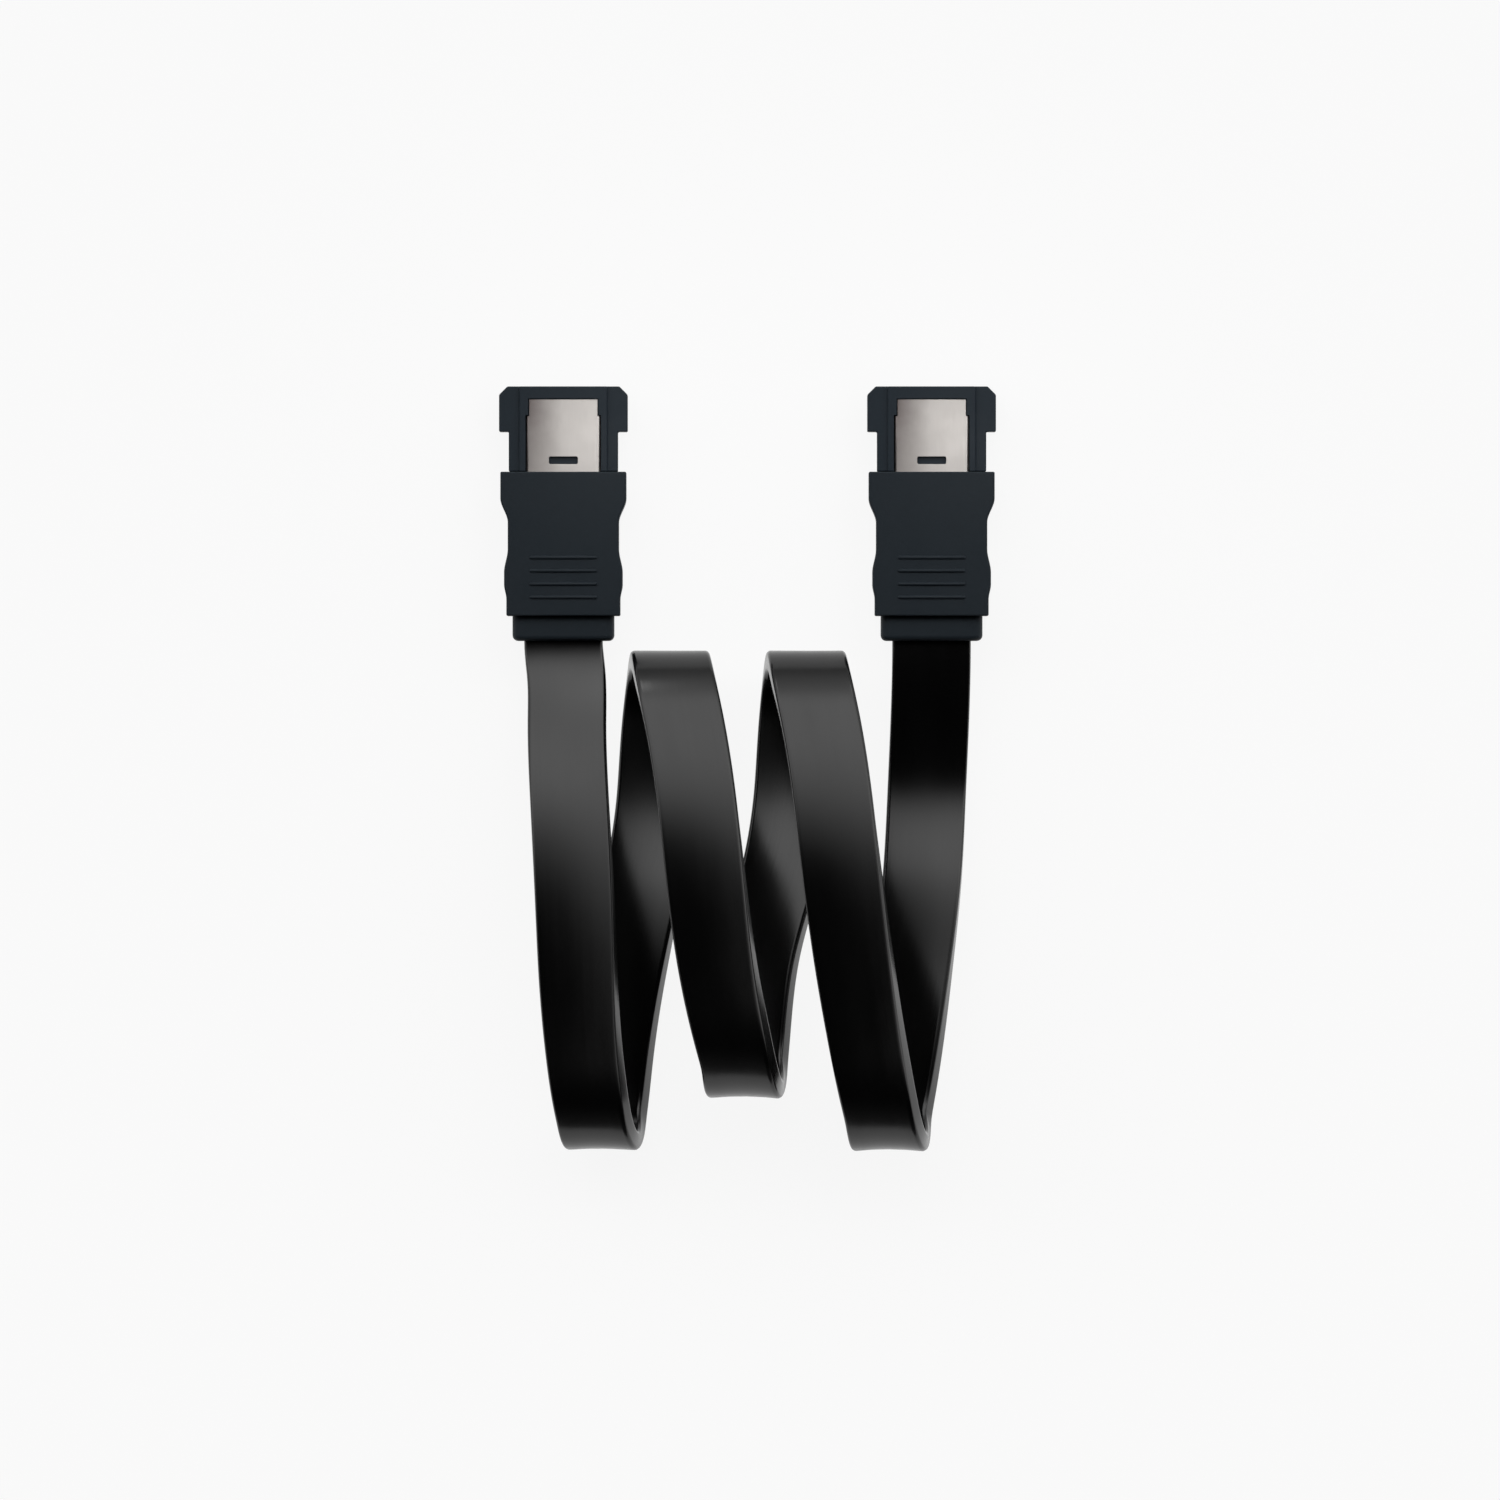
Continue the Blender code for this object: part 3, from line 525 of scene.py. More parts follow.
change = maths(extruded_lines, "ADD", remap(extruded_lines, clouds, 0.3, 0.7, -0.025, 0.025),
               remap(extruded_lines, lines, 0.3, 0.7, -0.015, 0.015))
extruded_lines.links.new(maths(extruded_lines, "ADD", change, given.outputs["Roughness"]),
                         result.inputs["Roughness"])

print("group:", extruded_lines.name)

# %% Brushed grain and painted shade on the plate
BRUSH_STROKES, BRUSH_SCRATCHES = (16000.0, 350.0, 1.0), (5200.0, 120.0, 1.0)
# Where the plate's painted shade lies: a wavy edge on its left, and less of it towards its back.
SHADE_CLOUDS, SHADE_WAVE, SHADE_LEFT, SHADE_RIGHT = 420.0, 0.0016, -0.0035, 0.0006
SHADE_BACK, SHADE_FRONT, SHADE_AT_BACK = 0.002, 0.0125, 0.42
brushed_grain, given, result = new_group(
    "brushed_grain", [("UV", VECTOR, None), ("Roughness", FLOAT, 0.35)],
    [("Height", FLOAT), ("Roughness", FLOAT)])
strokes = noise(brushed_grain, stretched(brushed_grain, given.outputs["UV"], *BRUSH_STROKES), 1.0, 3.0)
deep = noise(brushed_grain, stretched(brushed_grain, given.outputs["UV"], *BRUSH_SCRATCHES), 1.0, 2.0)
scratches = remap(brushed_grain, deep, 0.66, 0.72, 0.0, -0.8)
brushed_grain.links.new(maths(brushed_grain, "ADD", strokes, scratches), result.inputs["Height"])
brushed_grain.links.new(
    maths(brushed_grain, "ADD", remap(brushed_grain, strokes, 0.3, 0.7, -0.05, 0.06),
          given.outputs["Roughness"]), result.inputs["Roughness"])

# Painted shade for the latch plate: its colour is mixed towards a dark brownish grey on its left and towards
# its front.
plate_painted_shade, given, result = new_group(
    "plate_painted_shade", [("UV", VECTOR, None), ("Color", COLOUR, None), ("Painted_shade", COLOUR, None)], [("Color", COLOUR)])
parts = add_node(plate_painted_shade, "ShaderNodeSeparateXYZ", {0: given.outputs["UV"]})
cloud = noise(plate_painted_shade, given.outputs["UV"], SHADE_CLOUDS, 3.0)
wavy = maths(plate_painted_shade, "MULTIPLY_ADD", cloud, SHADE_WAVE, parts.outputs["X"])
leftward = remap(plate_painted_shade, wavy, SHADE_LEFT, SHADE_RIGHT, 1.0, 0.0)
forward = remap(plate_painted_shade, parts.outputs["Y"], SHADE_BACK, SHADE_FRONT, SHADE_AT_BACK, 1.0)
colour = mix_colour(plate_painted_shade, maths(plate_painted_shade, "MULTIPLY", leftward, forward),
                    given.outputs["Color"], given.outputs["Painted_shade"])
plate_painted_shade.links.new(colour, result.inputs["Color"])
print("groups for steel:", brushed_grain.name, plate_painted_shade.name)

# %% [markdown]
# ## Plastics
#
# Housing, grip, inner mould and wire insulation are all plastic, so one function builds all four. The
# housing and the grip are nearly black with a blue cast and a fine matt grain, and they shine little.
# A rubbed edge is only a little paler, as plastic wears glossy and grey.

# %% Plastics from the groups
PLASTIC_WORN = 0.00015
MATT_SHINE = 0.15


def moulded(name, colour, rubbed, roughness, change, grain, depth):
    """Plastic from a textured mould, in its own coordinates."""
    material, tree, shader = new_material(name)
    place = add_node(tree, "ShaderNodeTexCoord").outputs["Object"]
    edges = use_group(tree, rubbed_edges, {
        "Vector": place, "Color": (*colour, 1), "Rubbed": (*rubbed, 1), "Radius": PLASTIC_WORN})
    tree.links.new(edges.outputs["Color"], shader.inputs["Base Color"])
    gloss = use_group(tree, smudged, {"Vector": place, "Roughness": roughness, "Change": change})
    tree.links.new(gloss.outputs["Roughness"], shader.inputs["Roughness"])
    texture = use_group(tree, moulded_grain, {"Vector": place, "Scale": grain})
    bump = add_node(tree, "ShaderNodeBump", {
        "Height": texture.outputs["Height"], "Distance": depth, "Strength": 0.6})
    tree.links.new(bump.outputs["Normal"], shader.inputs["Normal"])
    return material


housing_plastic = moulded("housing_plastic_fine", (0.0205, 0.0285, 0.0370), (0.041, 0.053, 0.066),
                          0.46, 0.10, 11000, 0.000006)
grip_plastic = moulded("grip_plastic_fine", (0.0185, 0.0250, 0.0315), (0.037, 0.046, 0.056),
                       0.50, 0.12, 6500, 0.000012)
mould_plastic = moulded("inner_mould_fine", (0.66, 0.65, 0.60), (0.74, 0.73, 0.70), 0.5, 0.1, 8000, 0.00001)
insulation = moulded("insulation_fine", (0.74, 0.75, 0.73), (0.80, 0.80, 0.79), 0.42, 0.1, 5000, 0.000004)
for material in (housing_plastic, grip_plastic):
    material.node_tree.nodes["Principled BSDF"].inputs["Specular IOR Level"].default_value = MATT_SHINE
print("plastics:", housing_plastic.name, grip_plastic.name, mould_plastic.name, insulation.name)

# %% [markdown]
# ## Metals
#
# Steel, gold plate and tinned copper share one brushed recipe. They differ in colour and in how
# rough the strokes are. Only the latch plate has a UV plan, and with it painted shade.


# %% Metals from the groups
METAL_WORN = 0.00006
# A dark brownish grey, mixed into the plate's colour as painted shade on its left and front.
PLATE_SHADE_COLOUR = (0.168, 0.136, 0.133, 1)


def brushed(name, colour, rubbed, roughness, depth, uv=None):
    """Metal with fine strokes along the plug, in its own coordinates or in a UV map."""
    material, tree, shader = new_material(name)
    place = add_node(tree, "ShaderNodeTexCoord").outputs["Object"]
    way = add_node(tree, "ShaderNodeUVMap", uv_map=uv).outputs["UV"] if uv else place
    edges = use_group(tree, rubbed_edges, {
        "Vector": place, "Color": (*colour, 1), "Rubbed": (*rubbed, 1), "Radius": METAL_WORN})
    seen = edges.outputs["Color"]
    if uv:
        # The latch plate gets painted shade: darker and browner on its left and towards its front.
        seen = use_group(tree, plate_painted_shade, {"UV": way, "Color": seen, "Painted_shade": PLATE_SHADE_COLOUR}).outputs[0]
    tree.links.new(seen, shader.inputs["Base Color"])
    strokes = use_group(tree, brushed_grain, {"UV": way, "Roughness": roughness})
    gloss = use_group(tree, smudged, {
        "Vector": place, "Roughness": strokes.outputs["Roughness"], "Change": 0.06, "Scale": 420})
    tree.links.new(gloss.outputs["Roughness"], shader.inputs["Roughness"])
    bump = add_node(tree, "ShaderNodeBump", {
        "Height": strokes.outputs["Height"], "Distance": depth, "Strength": 0.5})
    tree.links.new(bump.outputs["Normal"], shader.inputs["Normal"])
    shader.inputs["Metallic"].default_value = 1
    return material


latch_steel = brushed("latch_steel_fine", (0.60, 0.57, 0.545), (0.74, 0.72, 0.70), 0.46, 0.000003,
                      "plate_plan")
contact_gold = brushed("contact_gold_fine", (0.83, 0.62, 0.27), (0.90, 0.76, 0.46), 0.24, 0.000002)
tinned_copper = brushed("tinned_copper_fine", (0.72, 0.70, 0.66), (0.80, 0.77, 0.72), 0.30, 0.000002)
print("metals:", latch_steel.name, contact_gold.name, tinned_copper.name)

# %% [markdown]
# ## Vinyl
#
# The cable's jacket is soft black vinyl with a satin shine. Its colour is far darker than the
# plastics', so what one sees on it is almost only the softbox, broken up by the extruder's lines.

# %% The cable's vinyl
VINYL_BLACK, VINYL_RUBBED = (0.0016, 0.0016, 0.0017, 1), (0.004, 0.004, 0.0041, 1)
VINYL_WORN, VINYL_ROUGHNESS, VINYL_RELIEF = 0.0002, 0.22, 0.000006
jacket_vinyl, tree, shader = new_material("jacket_vinyl_fine")
place = add_node(tree, "ShaderNodeTexCoord").outputs["Object"]
along_cable = add_node(tree, "ShaderNodeUVMap", uv_map="along_and_round").outputs["UV"]
edges = use_group(tree, rubbed_edges, {
    "Vector": place, "Color": VINYL_BLACK, "Rubbed": VINYL_RUBBED, "Radius": VINYL_WORN})
tree.links.new(edges.outputs["Color"], shader.inputs["Base Color"])
lines = use_group(tree, extruded_lines, {"UV": along_cable, "Roughness": VINYL_ROUGHNESS})
tree.links.new(lines.outputs["Roughness"], shader.inputs["Roughness"])
bump = add_node(tree, "ShaderNodeBump", {
    "Height": lines.outputs["Height"], "Distance": VINYL_RELIEF, "Strength": 0.5})
tree.links.new(bump.outputs["Normal"], shader.inputs["Normal"])
print("materials:", len(bpy.data.materials))

# %% [markdown]
# ## A workbench for solids
#
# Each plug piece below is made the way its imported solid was, from flat outlines that are thickened,
# joined and cut, but with rounder edges. Modelling by hand would give the same shapes, and no size
# could be changed afterwards. The shapes in between wait in a collection of their own, the workbench,
# which is cleared at the end.

# %% Solids from outlines and boxes
workbench = bpy.data.collections.new("workbench")
scene.collection.children.link(workbench)
PLANES = {
    "plan": lambda a, b, c: (a, b, c),
    "section": lambda a, b, c: (a, c, b),
    "profile": lambda a, b, c: (c, a, b),
}


def along(distance):
    """The plug's y at this distance behind its tip."""
    return PLUG_LENGTH / 2 - distance


def both_sides(right_half):
    """A whole outline from its right half, listed from one end to the other."""
    return right_half + [(-a, b) for a, b in reversed(right_half)]


def solid(bm):
    """Puts a mesh on the workbench."""
    bmesh.ops.recalc_face_normals(bm, faces=bm.faces)
    mesh = bpy.data.meshes.new("solid")
    bm.to_mesh(mesh)
    bm.free()
    obj = bpy.data.objects.new("solid", mesh)
    workbench.objects.link(obj)
    return obj


def prism(outline, low, high, plane="plan"):
    """A flat outline, thickened from low to high across its plane."""
    bm = bmesh.new()
    point = PLANES[plane]
    face = bm.faces.new([bm.verts.new(point(a, b, low)) for a, b in outline])
    grown = bmesh.ops.extrude_face_region(bm, geom=[face])["geom"]
    bmesh.ops.translate(bm, vec=point(0, 0, high - low),
                        verts=[item for item in grown if isinstance(item, bmesh.types.BMVert)])
    return solid(bm)


def box(half_width, front, back, z_low, z_high):
    """A box across the plug, between two distances behind its tip."""
    outline = both_sides([(half_width, along(front)), (half_width, along(back))])
    return prism(outline, z_low, z_high)


print("planes for outlines:", list(PLANES))

# %% [markdown]
# ## Cuts, rounded edges and both plugs
#
# Boolean and Bevel modifiers join, cut and round, and the result is copied out as a plain mesh.
# Vertices that a cut left almost in one place are welded. A last modifier weights the normals by
# area, so that a flat face looks flat right up to the rounded edge beside it. Both plugs are the
# same, so every mesh is made once and placed twice.


# %% Modifiers and the finished mesh
WELD = 2e-6


def combine(target, other, operation):
    """Joins another solid to the target, cuts it away, or keeps what both share."""
    modifier = target.modifiers.new("combine", "BOOLEAN")
    modifier.operation = operation
    modifier.object = other


def round_edges(target, width, segments, angle=50):
    """Rounds the target's edges that turn by more than the angle, in degrees."""
    modifier = target.modifiers.new("rounded_edges", "BEVEL")
    modifier.width = width
    modifier.segments = segments
    modifier.limit_method = "ANGLE"
    modifier.angle_limit = math.radians(angle)
    modifier.harden_normals = False


def evaluated(obj):
    """A plain mesh of the object after its modifiers."""
    graph = bpy.context.evaluated_depsgraph_get()
    return bpy.data.meshes.new_from_object(obj.evaluated_get(graph))


def finished_mesh(obj, sharp=42):
    """The object's mesh after its modifiers, shaded smooth with weighted normals."""
    mesh = evaluated(obj)
    bm = bmesh.new()
    bm.from_mesh(mesh)
    bmesh.ops.remove_doubles(bm, verts=bm.verts, dist=WELD)
    bmesh.ops.dissolve_degenerate(bm, edges=bm.edges, dist=WELD)
    bm.to_mesh(mesh)
    bm.free()
    mesh.shade_smooth()
    mesh.set_sharp_from_angle(angle=math.radians(sharp))
    holder = bpy.data.objects.new("holder", mesh)
    workbench.objects.link(holder)
    modifier = holder.modifiers.new("weighted", "WEIGHTED_NORMAL")
    modifier.keep_sharp = True
    return evaluated(holder)


print("weld distance in mm:", WELD * 1000)


# %% A piece on each plug
def place_piece(name, mesh, x, material, slot, *cad_nodes):
    """Shows a plug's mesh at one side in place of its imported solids."""
    mesh = mesh.copy()
    mesh.name = name
    mesh.transform(Matrix.Translation((x, 0, PLUG_Z)))
    mesh.materials.clear()
    mesh.materials.append(material)
    piece = bpy.data.objects.new(name, mesh)
    scene.collection.objects.link(piece)
    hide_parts(*cad_nodes)
    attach(piece, "root")
    print(name, "triangles:", sum(len(face.vertices) - 2 for face in mesh.polygons))


SIDES = {"left": -PLUG_X, "right": PLUG_X}
print("plugs at x in mm:", [x * 1000 for x in SIDES.values()])

# %% [markdown]
# ## The cable in its place
#
# The rings' mesh gets its weighted normals and its vinyl, and takes the place of the imported strip.

# %% The cable takes its finish and its place
cable_rings = bpy.data.objects.new("cable_rings", cable_mesh)
workbench.objects.link(cable_rings)
jacket = bpy.data.objects.new("flat_cable", finished_mesh(cable_rings, 60))
scene.collection.objects.link(jacket)
jacket.data.materials.append(jacket_vinyl)
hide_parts("cable_jacket")
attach(jacket, "root")
print("cable faces:", len(jacket.data.polygons))

# %% [markdown]
# ## The housing
#
# On the real plug this is one injection moulding: a body between two thinner wings that end in a
# flange, with a window on top for the steel plate and a slot in its tip for the mating tongue. Two
# outlines make the body here, one seen from the front and one from above, and the solid is what they
# have in common. Then each hollow is cut out in turn.

# %% The housing's measures and shape
HEAD_LENGTH = 0.0092
BODY_WIDTH, BODY_THICKNESS, WING_THICKNESS = 0.0095, 0.0052, 0.0044
FLANGE_WIDTH, FLANGE_LENGTH, FLANGE_CHAMFER, NECK_WIDTH = 0.0139, 0.0049, 0.0009, 0.0118
TONGUE_WIDTH, TONGUE_THICKNESS, TONGUE_LENGTH = 0.0091, 0.0032, 0.0028
SLOT_WIDTH, SLOT_HEIGHT, SLOT_DEPTH, SLOT_LEAD_IN = 0.0102, 0.0015, 0.0056, 0.0004
FRONT_BAR_LENGTH, PLATE_DEPTH, PLATE_THICKNESS, PLATE_FOLD = 0.0013, 0.0002, 0.0003, 0.0006
PLATE_WIDTH, PLATE_NOSE_WIDTH, PLATE_NOSE_LENGTH, PLATE_TAIL = 0.0080, 0.0074, 0.0018, 0.0010
CONTACT_COUNT, CONTACT_PITCH, CONTACT_WIDTH, CONTACT_THICKNESS = 7, 0.00127, 0.0008, 0.0002
SLOT_ROOF, CHANNEL_DEPTH, CHANNEL_ROOM, CHANNEL_FRONT = 0.0006, 0.0003, 0.0002, 0.0010
HOUSING_EDGE = 0.00014
FIT_GAP = 0.0001
SEAM = 0.00003
PAST = 0.0005
BODY_TOP = BODY_THICKNESS / 2
PLATE_TOP = BODY_TOP - PLATE_DEPTH
PLATE_STEP = FRONT_BAR_LENGTH + FIT_GAP + PLATE_NOSE_LENGTH
WINDOW_FLOOR = PLATE_TOP - PLATE_THICKNESS - FIT_GAP
SLOT_TOP = WINDOW_FLOOR - SLOT_ROOF
SLOT_FLOOR = SLOT_TOP - SLOT_HEIGHT
STEM_Z = -0.00035
CHANNEL_FLOOR = STEM_Z - CHANNEL_DEPTH
CHANNEL_TOP = STEM_Z + CHANNEL_ROOM
CHANNEL_WIDTH = CONTACT_WIDTH + 2 * FIT_GAP
TONGUE_END = HEAD_LENGTH + TONGUE_LENGTH


def plate_section(gap, top):
    """The room round the latch plate, seen from the front."""
    outer = PLATE_WIDTH / 2 + gap
    inner = PLATE_WIDTH / 2 - PLATE_THICKNESS - gap
    under, fold = PLATE_TOP - PLATE_THICKNESS - gap, PLATE_TOP - PLATE_FOLD - gap
    return both_sides([(outer, top), (outer, fold), (inner, fold), (inner, under)])


body, wing, wide = BODY_WIDTH / 2, WING_THICKNESS / 2, FLANGE_WIDTH / 2 + PAST
front_view = both_sides([(body, BODY_TOP), (body, wing), (wide, wing),
                         (wide, -wing), (body, -wing), (body, -BODY_TOP)])
flange, neck = FLANGE_WIDTH / 2, NECK_WIDTH / 2
top_view = both_sides([
    (flange - FLANGE_CHAMFER, along(0)), (flange, along(FLANGE_CHAMFER)), (flange, along(FLANGE_LENGTH)),
    (neck, along(FLANGE_LENGTH)), (neck, along(HEAD_LENGTH))])
housing = prism(front_view, along(HEAD_LENGTH + PAST), along(-PAST), "section")
combine(housing, prism(top_view, -BODY_THICKNESS, BODY_THICKNESS), "INTERSECT")
round_edges(housing, HOUSING_EDGE, 3, 40)
half = TONGUE_THICKNESS / 2
combine(housing, box(TONGUE_WIDTH / 2, HEAD_LENGTH - PAST, TONGUE_END, -half, half), "UNION")
print("steps so far:", [modifier.name for modifier in housing.modifiers])

# %% [markdown]
# ## The housing's hollows
#
# In the mould, steel cores leave the hollows: a window that is open at the back for the folded
# plate, a slot with a lead-in that guides the tongue, and seven channels for the contacts. Here
# each core is a solid that is cut away, a little longer than its hollow.

# %% The window, the slot and the contact channels
combine(housing, box(PLATE_NOSE_WIDTH / 2 + FIT_GAP, FRONT_BAR_LENGTH, PLATE_STEP + PAST,
                     WINDOW_FLOOR, BODY_TOP + PAST), "DIFFERENCE")
combine(housing, prism(plate_section(FIT_GAP, BODY_TOP + PAST), along(HEAD_LENGTH + PAST),
                       along(PLATE_STEP - FIT_GAP), "section"), "DIFFERENCE")
lead_in = box(SLOT_WIDTH / 2 + SLOT_LEAD_IN, -PAST, SLOT_LEAD_IN, SLOT_FLOOR - SLOT_LEAD_IN,
              SLOT_TOP + SLOT_LEAD_IN)
round_edges(lead_in, SLOT_LEAD_IN * 1.2, 2)
combine(housing, lead_in, "DIFFERENCE")
combine(housing, box(SLOT_WIDTH / 2, -PAST, SLOT_DEPTH, SLOT_FLOOR, SLOT_TOP), "DIFFERENCE")
side_view = [
    (along(CHANNEL_FRONT), SLOT_FLOOR + PAST), (along(CHANNEL_FRONT), CHANNEL_FLOOR),
    (along(TONGUE_END + PAST), CHANNEL_FLOOR), (along(TONGUE_END + PAST), CHANNEL_TOP),
    (along(SLOT_DEPTH), CHANNEL_TOP), (along(SLOT_DEPTH), SLOT_FLOOR + PAST)]
for number in range(CONTACT_COUNT):
    x = (number - (CONTACT_COUNT - 1) / 2) * CONTACT_PITCH
    combine(housing, prism(side_view, x - CHANNEL_WIDTH / 2, x + CHANNEL_WIDTH / 2, "profile"), "DIFFERENCE")
housing_mesh = finished_mesh(housing)
for side, x in SIDES.items():
    place_piece(side + "_housing_fine", housing_mesh, x, housing_plastic, "housing_plastic",
                side + "_housing")

# %% [markdown]
# ## The steel latch plate
#
# A press cuts the plate from thin sheet and folds both of its edges down, so its corners are round
# outside and nearly sharp inside. The folded section is drawn point by point with an arc at each
# outer corner. The narrow nose is drawn in the same plane, so that the two tops join without a line.
# The catch slot comes after them, and the whole plate gets a plan of UVs for the brushing.

# %% The latch plate
FOLD_RADIUS = 0.00024
CATCH_HALF, CATCH_FRONT, CATCH_BACK, CATCH_CORNER = 0.00155, 0.0016, 0.0008, 0.00015
CATCH_CUT = 0.001
PLATE_EDGE = 0.00005
fold_centre = (PLATE_WIDTH / 2 - FOLD_RADIUS, PLATE_TOP - FOLD_RADIUS)
arc = [(fold_centre[0] + FOLD_RADIUS * math.sin(math.radians(a)),
        fold_centre[1] + FOLD_RADIUS * math.cos(math.radians(a))) for a in range(0, 91, 15)]
inside, plate_under = PLATE_WIDTH / 2 - PLATE_THICKNESS, PLATE_TOP - PLATE_THICKNESS
folded = both_sides(arc + [(PLATE_WIDTH / 2, PLATE_TOP - PLATE_FOLD), (inside, PLATE_TOP - PLATE_FOLD),
                           (inside, plate_under)])
nose = both_sides([(PLATE_NOSE_WIDTH / 2, PLATE_TOP), (PLATE_NOSE_WIDTH / 2, plate_under)])
plate = prism(folded, along(HEAD_LENGTH + PLATE_TAIL), along(PLATE_STEP), "section")
combine(plate, prism(nose, along(PLATE_STEP + PAST), along(FRONT_BAR_LENGTH + FIT_GAP), "section"), "UNION")
catch = box(CATCH_HALF, HEAD_LENGTH - CATCH_FRONT, HEAD_LENGTH - CATCH_BACK,
            PLATE_TOP - CATCH_CUT, PLATE_TOP + CATCH_CUT)
round_edges(catch, CATCH_CORNER, 3)
combine(plate, catch, "DIFFERENCE")
round_edges(plate, PLATE_EDGE, 2, 35)
plate_mesh = finished_mesh(plate)
plan = plate_mesh.uv_layers.new(name="plate_plan")
for loop in plate_mesh.loops:
    place = plate_mesh.vertices[loop.vertex_index].co
    plan.data[loop.index].uv = (place.x, place.y)
for side, x in SIDES.items():
    place_piece(side + "_latch_plate_fine", plate_mesh, x, latch_steel, "latch_steel", side + "_latch_plate")

# %% [markdown]
# ## A row by Geometry Nodes
#
# Seven contacts stand in a row in each slot, and four ribs in a row on each grip. One small node tree
# makes both rows: it draws a line of points and puts a piece on each. Every so many points it takes
# the first piece, and the second piece elsewhere, because the ground contacts reach further out
# than the signal contacts. The row becomes a plain mesh at the end.

# %% A node tree for rows
row_tree = bpy.data.node_groups.new("row_of_pieces", "GeometryNodeTree")
row_inputs = {}
for label, kind in (("First", "NodeSocketObject"), ("Second", "NodeSocketObject"),
                    ("Every", "NodeSocketInt"), ("Count", "NodeSocketInt"), ("Start", "NodeSocketVector"),
                    ("Step", "NodeSocketVector"), ("Finish", "NodeSocketMaterial")):
    made = row_tree.interface.new_socket(label, in_out="INPUT", socket_type=kind)
    row_inputs[label] = made.identifier
row_tree.interface.new_socket("Geometry", in_out="OUTPUT", socket_type="NodeSocketGeometry")
asked = add_node(row_tree, "NodeGroupInput")
line = add_node(row_tree, "GeometryNodeMeshLine", {
    "Count": asked.outputs["Count"], "Start Location": asked.outputs["Start"],
    "Offset": asked.outputs["Step"]})
index = add_node(row_tree, "GeometryNodeInputIndex").outputs[0]
rest = maths(row_tree, "MODULO", index, asked.outputs["Every"])
first = add_node(row_tree, "FunctionNodeCompare", {0: rest, 1: 0.5}, operation="LESS_THAN").outputs[0]
others = add_node(row_tree, "FunctionNodeBooleanMath", {0: first}, operation="NOT").outputs[0]
joined = add_node(row_tree, "GeometryNodeJoinGeometry")
for label, chosen in (("First", first), ("Second", others)):
    source = add_node(row_tree, "GeometryNodeObjectInfo", {"Object": asked.outputs[label]})
    copies = add_node(row_tree, "GeometryNodeInstanceOnPoints", {
        "Points": line.outputs["Mesh"], "Selection": chosen, "Instance": source.outputs["Geometry"]})
    row_tree.links.new(copies.outputs["Instances"], joined.inputs[0])
real = add_node(row_tree, "GeometryNodeRealizeInstances", {0: joined.outputs[0]})
painted = add_node(row_tree, "GeometryNodeSetMaterial", {
    "Geometry": real.outputs[0], "Material": asked.outputs["Finish"]})
add_node(row_tree, "NodeGroupOutput", {0: painted.outputs[0]})
print("nodes in the tree:", len(row_tree.nodes))


# %% Rows as plain meshes
def row_mesh(**inputs):
    """The plain mesh of a row."""
    holder = bpy.data.objects.new("row", bpy.data.meshes.new("row"))
    workbench.objects.link(holder)
    modifier = holder.modifiers.new("row", "NODES")
    modifier.node_group = row_tree
    for label, value in inputs.items():
        modifier[row_inputs[label]] = value
    mesh = evaluated(holder)
    holder.modifiers.remove(modifier)
    return mesh


print("what a row asks for:", list(row_inputs))

# %% [markdown]
# ## The contacts
#
# A contact is a strip of gold-plated spring metal. It lies at the floor of the mating slot, rises in
# a soft hump that presses on the other connector, and runs back through the housing as a flat tail.
# Its side view is a smooth path with half the thickness on each side.

# %% The contacts
CONTACT_RISE, CONTACT_BUMP, CONTACT_TAIL, CONTACT_EDGE = 0.0005, 0.0009, 0.0030, 0.00003
GROUND_REACH, SIGNAL_REACH, GROUND_EVERY = 0.0012, 0.0017, 3


def contact_solid(reach):
    """One contact at the middle of the plug, from its path seen from the side."""
    low = SLOT_FLOOR - CONTACT_THICKNESS / 2
    crest = low + CONTACT_RISE
    path = [(reach + CONTACT_BUMP * share, low + (crest - low) * math.sin(share * math.pi / 2))
            for share in np.linspace(0, 1, 8)]
    start, end = path[-1], (SLOT_DEPTH - FIT_GAP, STEM_Z)
    for share in np.linspace(0, 1, 9)[1:]:
        ease = share * share * (3 - 2 * share)
        path.append((start[0] + (end[0] - start[0]) * share, start[1] + (end[1] - start[1]) * ease))
    path.append((TONGUE_END + CONTACT_TAIL, STEM_Z))
    path = np.array([(along(distance), z) for distance, z in path])
    ways = np.gradient(path, axis=0)
    ways /= np.linalg.norm(ways, axis=1)[:, None]
    shift = np.stack([-ways[:, 1], ways[:, 0]], axis=1) * CONTACT_THICKNESS / 2
    outline = [tuple(p) for p in path + shift] + [tuple(p) for p in (path - shift)[::-1]]
    strip = prism(outline, -CONTACT_WIDTH / 2, CONTACT_WIDTH / 2, "profile")
    round_edges(strip, CONTACT_EDGE, 1, 60)
    return strip


start_x = -(CONTACT_COUNT - 1) / 2 * CONTACT_PITCH
contacts = row_mesh(First=contact_solid(GROUND_REACH), Second=contact_solid(SIGNAL_REACH),
                    Every=GROUND_EVERY, Count=CONTACT_COUNT, Start=(start_x, 0, 0),
                    Step=(CONTACT_PITCH, 0, 0), Finish=contact_gold)
contacts.shade_smooth()
contacts.set_sharp_from_angle(angle=math.radians(35))
for side, x in SIDES.items():
    place_piece(side + "_contacts_fine", contacts, x, contact_gold, "contact_gold",
                *[f"{side}_contact_{number + 1}" for number in range(CONTACT_COUNT)])

# %% [markdown]
# ## The grip
#
# The grip is moulded over the back of the housing and over the end of the cable. Seen from above it
# has a waist for the fingers. Its long edges are well rounded and its ends are crisp, because the
# mould opens there. So the block is rounded first, while it is too long, and trimmed afterwards.

